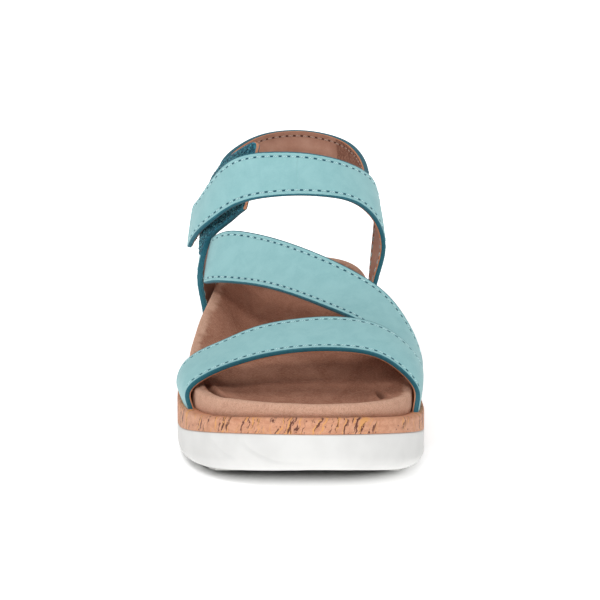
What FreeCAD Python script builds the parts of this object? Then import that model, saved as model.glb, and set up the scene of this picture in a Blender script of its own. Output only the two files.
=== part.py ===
import FreeCAD, Part
import math
import os

from FreeCAD import Vector

# A right-foot platform sandal: a moulded white sole, a cork-wrapped wedge, a suede-covered
# contoured footbed, a toe strap, an instep strap, a heel sling and a hook-and-loop ankle strap.
# X points to the big-toe side, Y to the heel, Z up. Z = 0 is the ground. Millimetres.

DIMENSIONS = {
    "outline_scale": 1.0,
    "blank_height": 60.0,
    "cut_width": 140.0,
    "cut_height": 90.0,
    "outsole_thickness": 1.5,
    "outsole_inset": 6.0,
    "groove_width": 2.2,
    "groove_depth": 0.8,
    "groove_pitch": 9.0,
    "sole_edge_radius": 5.0,
    "cork_thickness": 1.3,
    "footbed_inset": 4.6,
    "cover_thickness": 1.0,
    "board_thickness": 1.4,
    "shank_front": -30.0,
    "shank_depth": 3.5,
    "shank_length": 96.0,
    "shank_width": 14.0,
    "shank_thickness": 1.2,
    "shank_clearance": 0.2,
    "tail_inset": 1.8,
    "tail_clearance": 0.4,
    "tail_lift": 1.2,
    "tail_exit_drop": 0.5,
    "slot_extra": 1.2,
    "leather_thickness": 1.8,
    "lining_thickness": 0.45,
    "heel_pad_thickness": 2.4,
    "tape_thickness": 0.6,
    "skin_gap": 0.05,
    "thread_radius": 0.3,
    "stitch_pitch": 3.7,
    "stitch_length": 2.5,
    "stitch_margin": 2.2,
    "hinge_gap": 1.4,
}

# The sole's outline seen from above, heel centre first, then round by the little-toe side.
OUTLINE = [
    (0, 133), (-23, 125), (-35, 99), (-38, 55), (-43, 10), (-48, -28), (-48.5, -54), (-44, -84),
    (-31, -112), (-8, -130), (14, -133), (33, -122), (45, -100), (48.5, -74), (46.5, -45),
    (39, -10), (33.5, 25), (32.5, 65), (33, 98), (21, 126),
]

# Heights along the sole, as (Y, Z): each line runs from in front of the toe to behind the heel.
GROUND_LINE = [(-140, 12.5), (-120, 6.6), (-100, 2.9), (-80, 0.7), (-64, 0), (100, 0), (120, 1.2), (140, 4)]
WHITE_TOP = [(-140, 26), (-133, 24.8), (-108, 20.2), (-88, 16.6), (-70, 13.9), (-50, 12.4),
             (-20, 12.4), (30, 13.5), (80, 15), (140, 17)]
CORK_TOP = [(-140, 32.1), (-133, 31), (-108, 26.2), (-88, 23.6), (-70, 22.5), (-50, 23.2),
            (-20, 26), (10, 29), (50, 32), (100, 34.5), (140, 36)]
RIM_LINE = [(-140, 36), (-129, 35.4), (-108, 33.2), (-88, 31.2), (-70, 31.4), (-45, 37.5),
            (-20, 44), (10, 47.8), (50, 47.2), (95, 45), (115, 46.6), (140, 49.2)]
LATERAL_RIM_LINE = [(-140, 36), (-129, 35.4), (-108, 33.2), (-88, 31.2), (-70, 31.4), (-45, 36.8),
                    (-20, 41.4), (-8, 45), (4, 47.6), (20, 50.4), (40, 54), (62, 54.2),
                    (95, 49), (115, 47.2), (140, 49.2)]
BED_LINE = [(-140, 33.5), (-110, 30.3), (-80, 28.2), (-50, 29.3), (-20, 32.6), (10, 35.6),
            (50, 38.2), (90, 39.6), (140, 40.6)]

GROUND_FLAT = (-64, 100)
FOREFOOT_TREAD = (-100, 24)
HEEL_TREAD = (48, 122)
FOREFOOT_GROOVES = (-51, 8)
HEEL_GROOVES = (56, 5)
RIM_BLEND = 19.0
BED_HALF_SIZE = (54, 138)
BED_GRID = (18, 36)
RIM_CHANGE = (-14, 14)
LATERAL = -1
MEDIAL = 1

# Where each strap passes down beside the footbed: side, front Y, rear Y.
TAILS = {
    "toe_lateral": (LATERAL, -80, -57),
    "toe_medial": (MEDIAL, -90, -67),
    "instep_medial": (MEDIAL, -65.5, -45),
    "quarter_lateral": (LATERAL, 21, 56),
    "quarter_medial": (MEDIAL, 40, 61),
}

# Strap stations between the tails: front (or lower) edge, rear (or upper) edge, bulge.
TOE_STATIONS = [
    ((-44.6, -79.5, 28), (-48.8, -57, 29), 0.6),
    ((-43.4, -79, 31.5), (-47.4, -56, 34.5), 0.8),
    ((-38.9, -78, 35.2), (-42.5, -55, 39.8), 0.6),
    ((-29.2, -76.5, 39.6), (-32, -54.5, 45), 0.4),
    ((-15.6, -75, 43.4), (-18, -54, 50.8), 0.3),
    ((0, -74.5, 45.8), (0, -53.5, 54.2), 0.3),
    ((17.5, -75.5, 46.2), (17.7, -54.5, 54.9), 0.4),
    ((31, -78, 44), (31.5, -57.5, 52.4), 0.6),
    ((40.7, -82, 38.2), (42, -61.5, 45.8), 0.8),
    ((46, -86, 31.6), (48.2, -65.5, 36.5), 0.6),
]
INSTEP_STATIONS = [
    ((-38.7, 30, 54.5), (-36.3, 43, 69.5), 0.3),
    ((-39.9, 21, 54.6), (-36.2, 34.5, 72), 0.5),
    ((-37, 14.5, 56.3), (-31.5, 28, 75.3), 0.6),
    ((-28, 6, 57.7), (-21.5, 19, 76.6), 0.5),
    ((-14, -7.5, 58.2), (-5.8, 5, 75), 0.4),
    ((-1, -20, 56.7), (10, -7.5, 71), 0.3),
    ((12.5, -33, 54), (24, -16.5, 65.4), 0.3),
    ((25, -46, 50.5), (36, -25.5, 57.8), 0.4),
    ((35, -57, 44), (44, -34.5, 47.8), 0.5),
    ((44.2, -64.4, 35.4), (48.2, -40.8, 38), 0.6),
    ((46.3, -65.3, 28.5), (48.6, -43.8, 30), 0.5),
]
QUARTER_STATIONS = [
    ((-40.7, 21, 44), (-37.4, 57, 47), 0.6),
    ((-42.6, 22.5, 55), (-38.8, 59, 58), 1.0),
    ((-41.2, 29.5, 65), (-39.6, 61, 71), 1.0),
    ((-37.1, 36, 72.4), (-39.9, 61, 85.5), 0.9),
    ((-31.2, 36.2, 77.2), (-35.2, 58.6, 96.4), 0.7),
    ((-26.6, 33.2, 81.4), (-28.2, 50, 104.6), 0.6),
    ((-23, 30.5, 84.5), (-17.5, 41.5, 112), 0.3),
]
ANKLE_STATIONS = [
    ((-47.7, 46, 64.2), (-45.4, 59.2, 81.6), 0.2),
    ((-43.3, 38, 73.2), (-41.5, 51.6, 87.4), 0.3),
    ((-37.2, 32.6, 79.2), (-36.3, 46, 95.6), 0.4),
    ((-29.9, 28.6, 84.8), (-29.6, 40.3, 102.9), 0.4),
    ((-22.4, 25, 88.5), (-21.6, 35, 106.8), 0.3),
    ((-12, 22.2, 90.7), (-11, 31, 108.3), 0.3),
    ((0.5, 21, 91.5), (1, 29.5, 108.2), 0.3),
    ((12, 22, 90.8), (13.6, 32, 105.7), 0.3),
    ((22, 25.3, 88.4), (24.4, 39.4, 100.6), 0.4),
    ((30, 30, 82.4), (31.6, 47.5, 92.8), 0.6),
    ((35, 34.4, 73), (33.2, 54, 79), 0.9),
    ((35.4, 37.4, 62.5), (32.2, 58, 64.5), 0.7),
    ((32.4, 39.4, 51), (31.4, 60, 52), 0.4),
]
HEEL_STATIONS = [
    ((30.5, 50, 80.5), (29, 51, 91), 0.2),
    ((30.6, 60, 80), (29.2, 60, 93.2), 0.3),
    ((30.2, 76, 78.8), (28.6, 76, 96.4), 0.4),
    ((27.4, 95, 77.8), (25.2, 94, 100.1), 0.5),
    ((17, 113, 76.5), (16.4, 111.4, 103.3), 0.6),
    ((2, 120.2, 77.8), (2, 118.4, 105.2), 0.7),
    ((-13, 115.4, 77.6), (-13.4, 112.8, 105.1), 0.6),
    ((-27.4, 98.4, 76), (-27, 96, 101.6), 0.5),
    ((-34.6, 80, 74), (-34, 80, 96.6), 0.4),
    ((-36.5, 66, 72), (-35.3, 66, 91.4), 0.3),
    ((-36.5, 54, 70.5), (-35.2, 56, 87.5), 0.2),
]

# Shares of the ribbons' lengths at which the pieces part, counted from the ribbon's start.
TAB_END = 0.20
STRAP_END = 0.535
LOOP_START = 0.55
PAD_RANGE = (0.36, 0.86)
PAD_RAMP = 0.12

# The shares of each ribbon that carry stitches, and the shares that the tapes cover: along, across.
HINGE_UNSEWN = 0.012
SEWN = {
    "toe_strap": (0.15, 0.86),
    "instep_strap": (0.1, 0.86),
    "lateral_quarter": (0.2, LOOP_START - 0.01),
    "ankle_tab": (0.01, TAB_END - HINGE_UNSEWN),
    "ankle_strap": (TAB_END + HINGE_UNSEWN, STRAP_END - HINGE_UNSEWN),
    "medial_quarter": (STRAP_END + HINGE_UNSEWN, 0.9),
    "heel_strap": (0.12, 0.88),
}
LOOP_TAPE_SHARES = ((LOOP_START, 0.985), (0.05, 0.95))
HOOK_TAPE_SHARES = ((0.012, TAB_END - 0.012), (0.07, 0.93))

# How finely the ribbons are sampled: the length of a step along, the steps across, the stitch search.
RIBBON_STEP = 4
RIBBON_ACROSS = 4
STITCH_SEARCH_STEPS = 600

doc = FreeCAD.newDocument("sandal")
sheet = doc.addObject("Spreadsheet::Sheet", "Dimensions")
for row, (alias, value) in enumerate(DIMENSIONS.items(), start=1):
    sheet.set("A%d" % row, alias)
    sheet.set("B%d" % row, str(value))
    sheet.setAlias("B%d" % row, alias)
doc.recompute()


def size(alias):
    """A driving dimension, read from the sheet."""
    return float(sheet.get(alias))


def bind(feature, prop, alias):
    """Tie a property of a feature to a cell of the sheet."""
    feature.setExpression(prop, "%s.%s" % (sheet.Name, alias))


# ---------------------------------------------------------------- lines and outlines


def through(points, closed=False):
    """A smooth curve through the points."""
    curve = Part.BSplineCurve()
    curve.interpolate(Points=points, PeriodicFlag=closed)
    return curve


def height_on(line, y):
    """The height of a side line at Y, on its smooth curve."""
    curve = through([Vector(py, pz, 0) for py, pz in line])
    low, high = curve.FirstParameter, curve.LastParameter
    for _ in range(40):
        middle = (low + high) / 2
        if curve.value(middle).x < y:
            low = middle
        else:
            high = middle
    return curve.value(low).y


def outline_curve(inset):
    """The sole's outline, moved inwards by the inset."""
    scale = size("outline_scale")
    base = through([Vector(x * scale, y * scale, 0) for x, y in OUTLINE], closed=True)
    moved = []
    for x, y in OUTLINE:
        point = Vector(x * scale, y * scale, 0)
        tangent = base.tangent(base.parameter(point))[0]
        inwards = Vector(tangent.y, -tangent.x, 0)
        if inwards.dot(point) > 0:
            inwards = inwards * -1
        moved.append(point + inwards * inset)
    return through(moved, closed=True)


def side_x(side, y, inset):
    """X of the inset outline at Y, on the lateral or the medial side."""
    points = [p for p in outline_curve(inset).discretize(Number=400) if p.x * side > 0]
    near = sorted(points, key=lambda p: abs(p.y - y))[:2]
    span = near[1].y - near[0].y
    share = 0 if abs(span) < 1e-6 else (y - near[0].y) / span
    return near[0].x + share * (near[1].x - near[0].x)


def side_point(side, y, inset, z):
    return Vector(side_x(side, y, inset), y, z)


# ---------------------------------------------------------------- sole layers


def plane_sketch(body, name, role):
    """A sketch on one of the body's own origin planes."""
    sketch = body.newObject("Sketcher::SketchObject", name)
    plane = [item for item in body.Origin.OriginFeatures if item.Role == role][0]
    sketch.AttachmentSupport = [(plane, "")]
    sketch.MapMode = "FlatFace"
    return sketch


def add_polygon(sketch, corners):
    for start, end in zip(corners, corners[1:] + corners[:1]):
        sketch.addGeometry(Part.LineSegment(start, end), False)


def cut_symmetric(body, sketch, name, width_alias):
    """Cut the sketch through the body, half each way from its plane."""
    before = body.Shape.Volume
    cut = body.newObject("PartDesign::Pocket", name)
    cut.Profile = sketch
    cut.SideType = "Symmetric"
    bind(cut, "Length", width_alias)
    doc.recompute()
    if body.Shape.Volume >= before:
        raise RuntimeError("%s removed nothing from %s" % (name, body.Label))
    return cut


def side_sketch(body, name, line, raised, beyond):
    """The region above (beyond > 0) or below (beyond < 0) a side line, in the YZ plane."""
    sketch = plane_sketch(body, name, "YZ_Plane")
    points = [Vector(y, z + raised, 0) for y, z in line]
    sketch.addGeometry(through(points), False)
    far_end = Vector(points[-1].x, points[-1].y + beyond, 0)
    far_start = Vector(points[0].x, points[-1].y + beyond, 0)
    sketch.addGeometry(Part.LineSegment(points[-1], far_end), False)
    sketch.addGeometry(Part.LineSegment(far_end, far_start), False)
    sketch.addGeometry(Part.LineSegment(far_start, points[0]), False)
    return sketch


def ground_sketch(body, name, raised):
    """The region under the sole: toe spring, a flat middle and the heel's bevel."""
    sketch = plane_sketch(body, name, "YZ_Plane")
    flat_start = Vector(GROUND_FLAT[0], raised, 0)
    flat_end = Vector(GROUND_FLAT[1], raised, 0)
    toe = [Vector(y, z + raised, 0) for y, z in GROUND_LINE if y <= GROUND_FLAT[0]]
    heel = [Vector(y, z + raised, 0) for y, z in GROUND_LINE if y >= GROUND_FLAT[1]]
    sketch.addGeometry(through(toe), False)
    sketch.addGeometry(Part.LineSegment(flat_start, flat_end), False)
    sketch.addGeometry(through(heel), False)
    deep = -size("cut_height")
    corners = [heel[-1], Vector(heel[-1].x, deep, 0), Vector(toe[0].x, deep, 0), toe[0]]
    for start, end in zip(corners[:-1], corners[1:]):
        sketch.addGeometry(Part.LineSegment(start, end), False)
    return sketch


def sole_blank(label, inset):
    """A straight-sided block with the sole's outline, standing on Z = 0."""
    body = doc.addObject("PartDesign::Body", label)
    sketch = plane_sketch(body, label + "_outline", "XY_Plane")
    sketch.addGeometry(outline_curve(inset), False)
    pad = body.newObject("PartDesign::Pad", label + "_blank")
    pad.Profile = sketch
    bind(pad, "Length", "blank_height")
    doc.recompute()
    return body


def trim_top(body, line, raised=0.0):
    sketch = side_sketch(body, body.Name + "_top_line", line, raised, size("cut_height"))
    cut_symmetric(body, sketch, body.Name + "_top_cut", "cut_width")


def trim_underside(body, line, raised=0.0):
    sketch = side_sketch(body, body.Name + "_under_line", line, raised, -size("cut_height"))
    cut_symmetric(body, sketch, body.Name + "_under_cut", "cut_width")


def trim_to_ground(body, raised):
    sketch = ground_sketch(body, body.Name + "_ground_line", raised)
    cut_symmetric(body, sketch, body.Name + "_ground_cut", "cut_width")


def hollow_out(body, inset):
    """Cut the inset outline right through the body and leave a wall."""
    before = body.Shape.Volume
    sketch = plane_sketch(body, body.Name + "_hollow_outline", "XY_Plane")
    sketch.addGeometry(outline_curve(inset), False)
    cut = body.newObject("PartDesign::Pocket", body.Name + "_hollow")
    cut.Profile = sketch
    cut.Reversed = True
    bind(cut, "Length", "blank_height")
    doc.recompute()
    if body.Shape.Volume >= before:
        raise RuntimeError("%s was not hollowed" % body.Label)


def make_midsole():
    """The white moulded unit, rounded along its lower edge."""
    body = sole_blank("midsole", 0)
    trim_top(body, WHITE_TOP)
    trim_to_ground(body, size("outsole_thickness"))
    low_edges = []
    for index, edge in enumerate(body.Shape.Edges, start=1):
        start, end = edge.Vertexes[0].Point, edge.Vertexes[-1].Point
        crosswise = abs(start.y - end.y) < 1 and abs(start.x - end.x) > 1
        upright = abs(start.x - end.x) < 1 and abs(start.y - end.y) < 1
        if not (crosswise or upright):
            low_edges.append("Edge%d" % index)
    trimmed = body.Tip
    fillet = body.newObject("PartDesign::Fillet", "midsole_round")
    fillet.Base = (trimmed, low_edges)
    bind(fillet, "Radius", "sole_edge_radius")
    doc.recompute()
    return body


def make_tread(label, reach, grooves):
    """A rubber tread pad under the sole, with grooves across it."""
    body = sole_blank(label, size("outsole_inset"))
    trim_to_ground(body, 0)
    sketch = side_lid(body, size("outsole_thickness"))
    cut_symmetric(body, sketch, label + "_lid_cut", "cut_width")
    ends = plane_sketch(body, label + "_end_lines", "XY_Plane")
    wide = size("cut_width") / 2
    for near, far in ((-2 * wide, reach[0]), (reach[1], 2 * wide)):
        corners = [Vector(-wide, near, 0), Vector(wide, near, 0), Vector(wide, far, 0), Vector(-wide, far, 0)]
        add_polygon(ends, corners)
    cut_symmetric(body, ends, label + "_end_cut", "cut_width")
    groove_tread(body, grooves)
    return body


def side_lid(body, thickness):
    """The region above the tread's top, which follows the ground line."""
    sketch = plane_sketch(body, body.Name + "_lid_line", "YZ_Plane")
    toe = [Vector(y, z + thickness, 0) for y, z in GROUND_LINE if y <= GROUND_FLAT[0]]
    heel = [Vector(y, z + thickness, 0) for y, z in GROUND_LINE if y >= GROUND_FLAT[1]]
    tall = size("cut_height")
    sketch.addGeometry(through(toe), False)
    sketch.addGeometry(Part.LineSegment(toe[-1], heel[0]), False)
    sketch.addGeometry(through(heel), False)
    corners = [heel[-1], Vector(heel[-1].x, tall, 0), Vector(toe[0].x, tall, 0), toe[0]]
    for start, end in zip(corners[:-1], corners[1:]):
        sketch.addGeometry(Part.LineSegment(start, end), False)
    return sketch


def groove_tread(body, grooves):
    """Shallow grooves straight across the pad, in its flat part: first Y and how many."""
    start, count = grooves
    pitch = size("groove_pitch")
    half = size("groove_width") / 2
    wide = size("cut_width") / 2
    sketch = plane_sketch(body, body.Name + "_groove", "XY_Plane")
    corners = [Vector(-wide, start - half, 0), Vector(wide, start - half, 0)]
    corners += [Vector(wide, start + half, 0), Vector(-wide, start + half, 0)]
    add_polygon(sketch, corners)
    before = body.Shape.Volume
    groove = body.newObject("PartDesign::Pocket", body.Name + "_groove_cut")
    groove.Profile = sketch
    groove.Reversed = True
    bind(groove, "Length", "groove_depth")
    doc.recompute()
    if body.Shape.Volume >= before:
        raise RuntimeError("the groove missed %s" % body.Label)
    pattern = body.newObject("PartDesign::LinearPattern", body.Name + "_grooves")
    pattern.Originals = [groove]
    pattern.Direction = (sketch, ["V_Axis"])
    pattern.Length = pitch * (count - 1)
    pattern.Occurrences = count
    body.Tip = pattern
    doc.recompute()


def make_cork_wrap():
    """The thin cork band round the wedge."""
    body = sole_blank("cork_wrap", 0)
    trim_top(body, CORK_TOP)
    trim_underside(body, WHITE_TOP)
    hollow_out(body, size("cork_thickness"))
    return body


def make_platform_core():
    """The wedge inside the cork, with a slot for each strap tail and a bed for the shank."""
    body = sole_blank("platform_core", size("cork_thickness"))
    trim_top(body, CORK_TOP)
    trim_underside(body, WHITE_TOP)
    sketch = plane_sketch(body, "tail_slots", "XY_Plane")
    room = size("tail_clearance")
    for side, front, rear in TAILS.values():
        inner = [side_point(side, y, size("footbed_inset") + size("slot_extra"), 0)
                 for y in (front - room, (front + rear) / 2, rear + room)]
        outer = side * size("cut_width") / 2
        corners = [inner[2], Vector(outer, rear + room, 0), Vector(outer, front - room, 0), inner[0]]
        sketch.addGeometry(Part.Arc(inner[0], inner[1], inner[2]), False)
        for start, end in zip(corners[:-1], corners[1:]):
            sketch.addGeometry(Part.LineSegment(start, end), False)
    cut_symmetric(body, sketch, "tail_slot_cut", "cut_width")
    cut_shank_bed(body)
    return body


def shank_place():
    """The middle of the shank's underside and its slope along Y."""
    front = size("shank_front")
    rear = front + size("shank_length")
    rise = height_on(CORK_TOP, rear) - height_on(CORK_TOP, front)
    slope = math.atan2(rise, rear - front)
    middle_y = (front + rear) / 2
    low = (height_on(CORK_TOP, rear) + height_on(CORK_TOP, front)) / 2 - size("shank_depth")
    return Vector(0, middle_y, low), slope


def shank_corners(extra):
    place, slope = shank_place()
    along = Vector(math.cos(slope), math.sin(slope), 0)
    up = Vector(-math.sin(slope), math.cos(slope), 0)
    middle = Vector(place.y, place.z, 0)
    half = along * (size("shank_length") / 2 + extra)
    low = up * -extra
    high = up * (size("shank_thickness") + extra)
    return [middle - half + low, middle + half + low, middle + half + high, middle - half + high]


def cut_shank_bed(body):
    sketch = plane_sketch(body, "shank_bed", "YZ_Plane")
    add_polygon(sketch, shank_corners(size("shank_clearance")))
    before = body.Shape.Volume
    cut = body.newObject("PartDesign::Pocket", "shank_bed_cut")
    cut.Profile = sketch
    cut.SideType = "Symmetric"
    width = "%s.shank_width + 2 * %s.shank_clearance" % (sheet.Name, sheet.Name)
    cut.setExpression("Length", width)
    doc.recompute()
    if body.Shape.Volume >= before:
        raise RuntimeError("the shank bed missed the core")


def make_shank():
    """The steel strip that stiffens the waist, closed inside the core."""
    body = doc.addObject("PartDesign::Body", "shank")
    sketch = plane_sketch(body, "shank_side", "YZ_Plane")
    add_polygon(sketch, shank_corners(0))
    pad = body.newObject("PartDesign::Pad", "shank_strip")
    pad.Profile = sketch
    pad.SideType = "Symmetric"
    bind(pad, "Length", "shank_width")
    doc.recompute()
    return body


def make_insole_board():
    """The stiff board between the wedge and the soft footbed."""
    body = sole_blank("insole_board", size("footbed_inset") + size("cover_thickness"))
    trim_top(body, CORK_TOP, size("board_thickness"))
    trim_underside(body, CORK_TOP)
    return body


# ---------------------------------------------------------------- footbed


def ease(share):
    """A share held between 0 and 1, with soft ends."""
    share = min(1.0, max(0.0, share))
    return share * share * (3 - 2 * share)


def bed_height(x, y, edge_points):
    """The footbed's top: flat in the middle, turned up to the rim all round."""
    inside = min((point.x - x) ** 2 + (point.y - y) ** 2 for point in edge_points) ** 0.5
    lateral, medial = height_on(LATERAL_RIM_LINE, y), height_on(RIM_LINE, y)
    rim = lateral + (medial - lateral) * ease((x - RIM_CHANGE[0]) / (RIM_CHANGE[1] - RIM_CHANGE[0]))
    return rim + (height_on(BED_LINE, y) - rim) * ease(inside / RIM_BLEND)


def air_above_bed(name, lowered):
    """The space over the footbed's top, lowered by a skin thickness."""
    edge_points = outline_curve(size("footbed_inset")).discretize(Number=160)
    rows = []
    half_width, half_length = BED_HALF_SIZE
    columns, lines = BED_GRID
    for line in range(lines + 1):
        y = half_length * (2 * line / lines - 1)
        row_points = []
        for column in range(columns + 1):
            x = half_width * (2 * column / columns - 1)
            row_points.append(Vector(x, y, bed_height(x, y, edge_points) - lowered))
        rows.append(row_points)
    surface = Part.BSplineSurface()
    surface.interpolate(rows)
    air = doc.addObject("Part::Feature", name)
    air.Shape = surface.toShape().extrude(Vector(0, 0, size("cut_height")))
    return air


def cut_shape(label, base, tool):
    result = doc.addObject("Part::Cut", label)
    result.Base = base
    result.Tool = tool
    doc.recompute()
    return result


def make_footbed_foam():
    """The soft contoured foam under the suede."""
    blank = sole_blank("foam_blank", size("footbed_inset") + size("cover_thickness"))
    trim_underside(blank, CORK_TOP, size("board_thickness"))
    return cut_shape("footbed_foam", blank, air_above_bed("foam_air", size("cover_thickness")))


def make_footbed_cover(foam_air):
    """The suede skin over the foam's top and down its side."""
    outside = sole_blank("cover_blank", size("footbed_inset"))
    trim_underside(outside, CORK_TOP)
    shaped = cut_shape("cover_outside", outside, air_above_bed("cover_air", 0))
    core = sole_blank("cover_core", size("footbed_inset") + size("cover_thickness"))
    filling = cut_shape("cover_filling", core, foam_air)
    return cut_shape("footbed_cover", shaped, filling)


# ---------------------------------------------------------------- straps


class Ribbon:
    """A curved strap surface on three rails: front, middle and rear edge lines."""

    def __init__(self, stations):
        fronts = [station[0] for station in stations]
        rears = [station[2] for station in stations]
        middles = [station[1] for station in stations]
        knots = [0.0]
        for index in range(1, len(stations)):
            step = middles[index].distanceToPoint(middles[index - 1])
            knots.append(knots[-1] + step)
        self.length = knots[-1]
        knots = [knot / self.length for knot in knots]
        self.rails = []
        for points in (fronts, middles, rears):
            curve = Part.BSplineCurve()
            curve.interpolate(Points=points, Parameters=knots)
            self.rails.append(curve)

    def outside(self, u, v):
        """A point of the outer face: u along the strap, v from its front to its rear edge."""
        front, middle, rear = [rail.value(min(1.0, max(0.0, u))) for rail in self.rails]
        return front * ((1 - v) * (1 - 2 * v)) + middle * (4 * v * (1 - v)) + rear * (v * (2 * v - 1))

    def normal(self, u, v):
        step = 0.004
        low, high = max(0.0, u - step), min(1.0, u + step)
        along = self.outside(high, v) - self.outside(low, v)
        across = self.outside(u, min(1.0, v + 0.05)) - self.outside(u, max(0.0, v - 0.05))
        return along.cross(across).normalize()

    def point(self, u, v, depth):
        """A point at a depth under the outer face; a negative depth stands proud of it."""
        return self.outside(u, v) - self.normal(u, v) * depth

    def width(self, u):
        return self.outside(u, 0).distanceToPoint(self.outside(u, 1))


def tail_stations(name, going_up):
    """The two stations of a strap tail, in its slot and at the top of the cork."""
    side, front, rear = TAILS[name]
    inset = size("tail_inset")
    low = []
    high = []
    for y in (front, (front + rear) / 2, rear):
        low.append(side_point(side, y, inset, height_on(WHITE_TOP, y) + size("tail_lift")))
        high.append(side_point(side, y, inset, height_on(CORK_TOP, y) - size("tail_exit_drop")))
    return [low, high] if going_up else [high, low]


def free_stations(stations):
    """Stations between the tails, their middle point pushed out by the bulge."""
    result = []
    for index, (front, rear, bulge) in enumerate(stations):
        front, rear = Vector(*front), Vector(*rear)
        before = Vector(*stations[max(0, index - 1)][0]) + Vector(*stations[max(0, index - 1)][1])
        last = len(stations) - 1
        after = Vector(*stations[min(last, index + 1)][0]) + Vector(*stations[min(last, index + 1)][1])
        outwards = (after - before).cross(rear - front).normalize()
        result.append([front, (front + rear) * 0.5 + outwards * bulge, rear])
    return result


def slab(ribbon, u_range, v_range, outer_depth, inner_depth):
    """A closed solid between two depths under a ribbon; depths are numbers or functions of u."""
    along = max(RIBBON_ACROSS, int(ribbon.length * (u_range[1] - u_range[0]) / RIBBON_STEP))
    skins = []
    for depth in (outer_depth, inner_depth):
        rows = []
        for i in range(along + 1):
            u = u_range[0] + (u_range[1] - u_range[0]) * i / along
            deep = depth(u) if callable(depth) else depth
            row_points = []
            for j in range(RIBBON_ACROSS + 1):
                v = v_range[0] + (v_range[1] - v_range[0]) * j / RIBBON_ACROSS
                row_points.append(ribbon.point(u, v, deep))
            rows.append(row_points)
        surface = Part.BSplineSurface()
        surface.interpolate(rows)
        skins.append(surface)
    outer, inner = skins
    u_low, u_high, v_low, v_high = outer.bounds()
    edges = [(outer.uIso(u), inner.uIso(u)) for u in (u_low, u_high)]
    edges += [(outer.vIso(v), inner.vIso(v)) for v in (v_low, v_high)]
    faces = [skin.toShape() for skin in skins]
    sides = [above.makeRuledSurface(below).toShape() for above, below in edges]
    shell = Part.makeShell(faces + sides)
    shell.sewShape()
    solid = Part.makeSolid(shell)
    if solid.Volume < 0:
        solid.reverse()
    return solid


def stitch_run(ribbon, u_range, from_front):
    """A row of short threads along one edge, just proud of the face."""
    margin = size("stitch_margin")
    depth = -(size("skin_gap") + size("thread_radius"))
    threads = []
    walked = size("stitch_pitch")
    last = None
    for i in range(STITCH_SEARCH_STEPS + 1):
        u = u_range[0] + (u_range[1] - u_range[0]) * i / STITCH_SEARCH_STEPS
        share = margin / ribbon.width(u)
        v = share if from_front else 1 - share
        here = ribbon.point(u, v, depth)
        if last is not None:
            walked += here.distanceToPoint(last)
        last = here
        if walked < size("stitch_pitch"):
            continue
        ahead = ribbon.point(min(1.0, u + 0.01), v, depth)
        if u + size("stitch_length") / ribbon.length > u_range[1]:
            break
        threads.append(Part.makeCylinder(size("thread_radius"), size("stitch_length"), here, ahead - here))
        walked = 0.0
    return threads


def add_feature(label, shape):
    feature = doc.addObject("Part::Feature", label)
    feature.Shape = shape
    feature.Placement = FreeCAD.Placement()
    return feature


def make_stitching(label, ribbon):
    """A strap's two rows of stitches, one along each edge."""
    threads = []
    for from_front in (True, False):
        threads += stitch_run(ribbon, SEWN[label], from_front)
    return add_feature(label + "_stitching", Part.makeCompound(threads))


def make_strap(label, ribbon, u_range=(0.0, 1.0)):
    """A strap's leather, its lining and its stitches."""
    leather = size("leather_thickness")
    inner = leather + size("lining_thickness")
    face = add_feature(label, slab(ribbon, u_range, (0, 1), 0, leather))
    under = add_feature(label + "_lining", slab(ribbon, u_range, (0, 1), leather, inner))
    return [face, under, make_stitching(label, ribbon)]


def heel_strap_pieces(ribbon):
    """The heel sling: leather, a foam pad at the back, a lining over the pad, stitches."""
    leather = size("leather_thickness")
    lining = size("lining_thickness")
    gap = size("skin_gap")

    def pad_swell(u):
        start, end = PAD_RANGE
        return size("heel_pad_thickness") * ease(min((u - start) / PAD_RAMP, (end - u) / PAD_RAMP))

    def pad_depth(u):
        return leather + gap + pad_swell(u)

    def lining_top(u):
        return pad_depth(u) + 4 * gap

    def lining_depth(u):
        return lining_top(u) + lining

    pad_span = (PAD_RANGE[0] + PAD_RAMP / 3, PAD_RANGE[1] - PAD_RAMP / 3)
    pieces = [add_feature("heel_strap", slab(ribbon, (0, 1), (0, 1), 0, leather))]
    pieces.append(add_feature("heel_pad", slab(ribbon, pad_span, (0, 1), leather + gap, pad_depth)))
    pieces.append(add_feature("heel_strap_lining", slab(ribbon, (0, 1), (0, 1), lining_top, lining_depth)))
    pieces.append(make_stitching("heel_strap", ribbon))
    return pieces


def make_loop_tape(ribbon):
    """The loop tape on the outside of the quarter's forward ear."""
    gap = size("skin_gap")
    along, across = LOOP_TAPE_SHARES
    shape = slab(ribbon, along, across, -gap - size("tape_thickness"), -gap)
    return add_feature("loop_tape", shape)


def make_hook_tape(ribbon):
    """The hook tape under the ankle strap's tab."""
    top = size("leather_thickness") + size("lining_thickness") + size("skin_gap")
    along, across = HOOK_TAPE_SHARES
    shape = slab(ribbon, along, across, top, top + size("tape_thickness"))
    return add_feature("hook_tape", shape)


def report_hinge(name, ribbon, u):
    """Print a hinge line: the ribbon's cross line at u, on its outer face."""
    low = ribbon.outside(u, 0)
    high = ribbon.outside(u, 1)
    axis = (high - low).normalize()
    print(name, "at", [round(c, 2) for c in (low + high) * 0.5], "axis", [round(c, 4) for c in axis])


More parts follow.
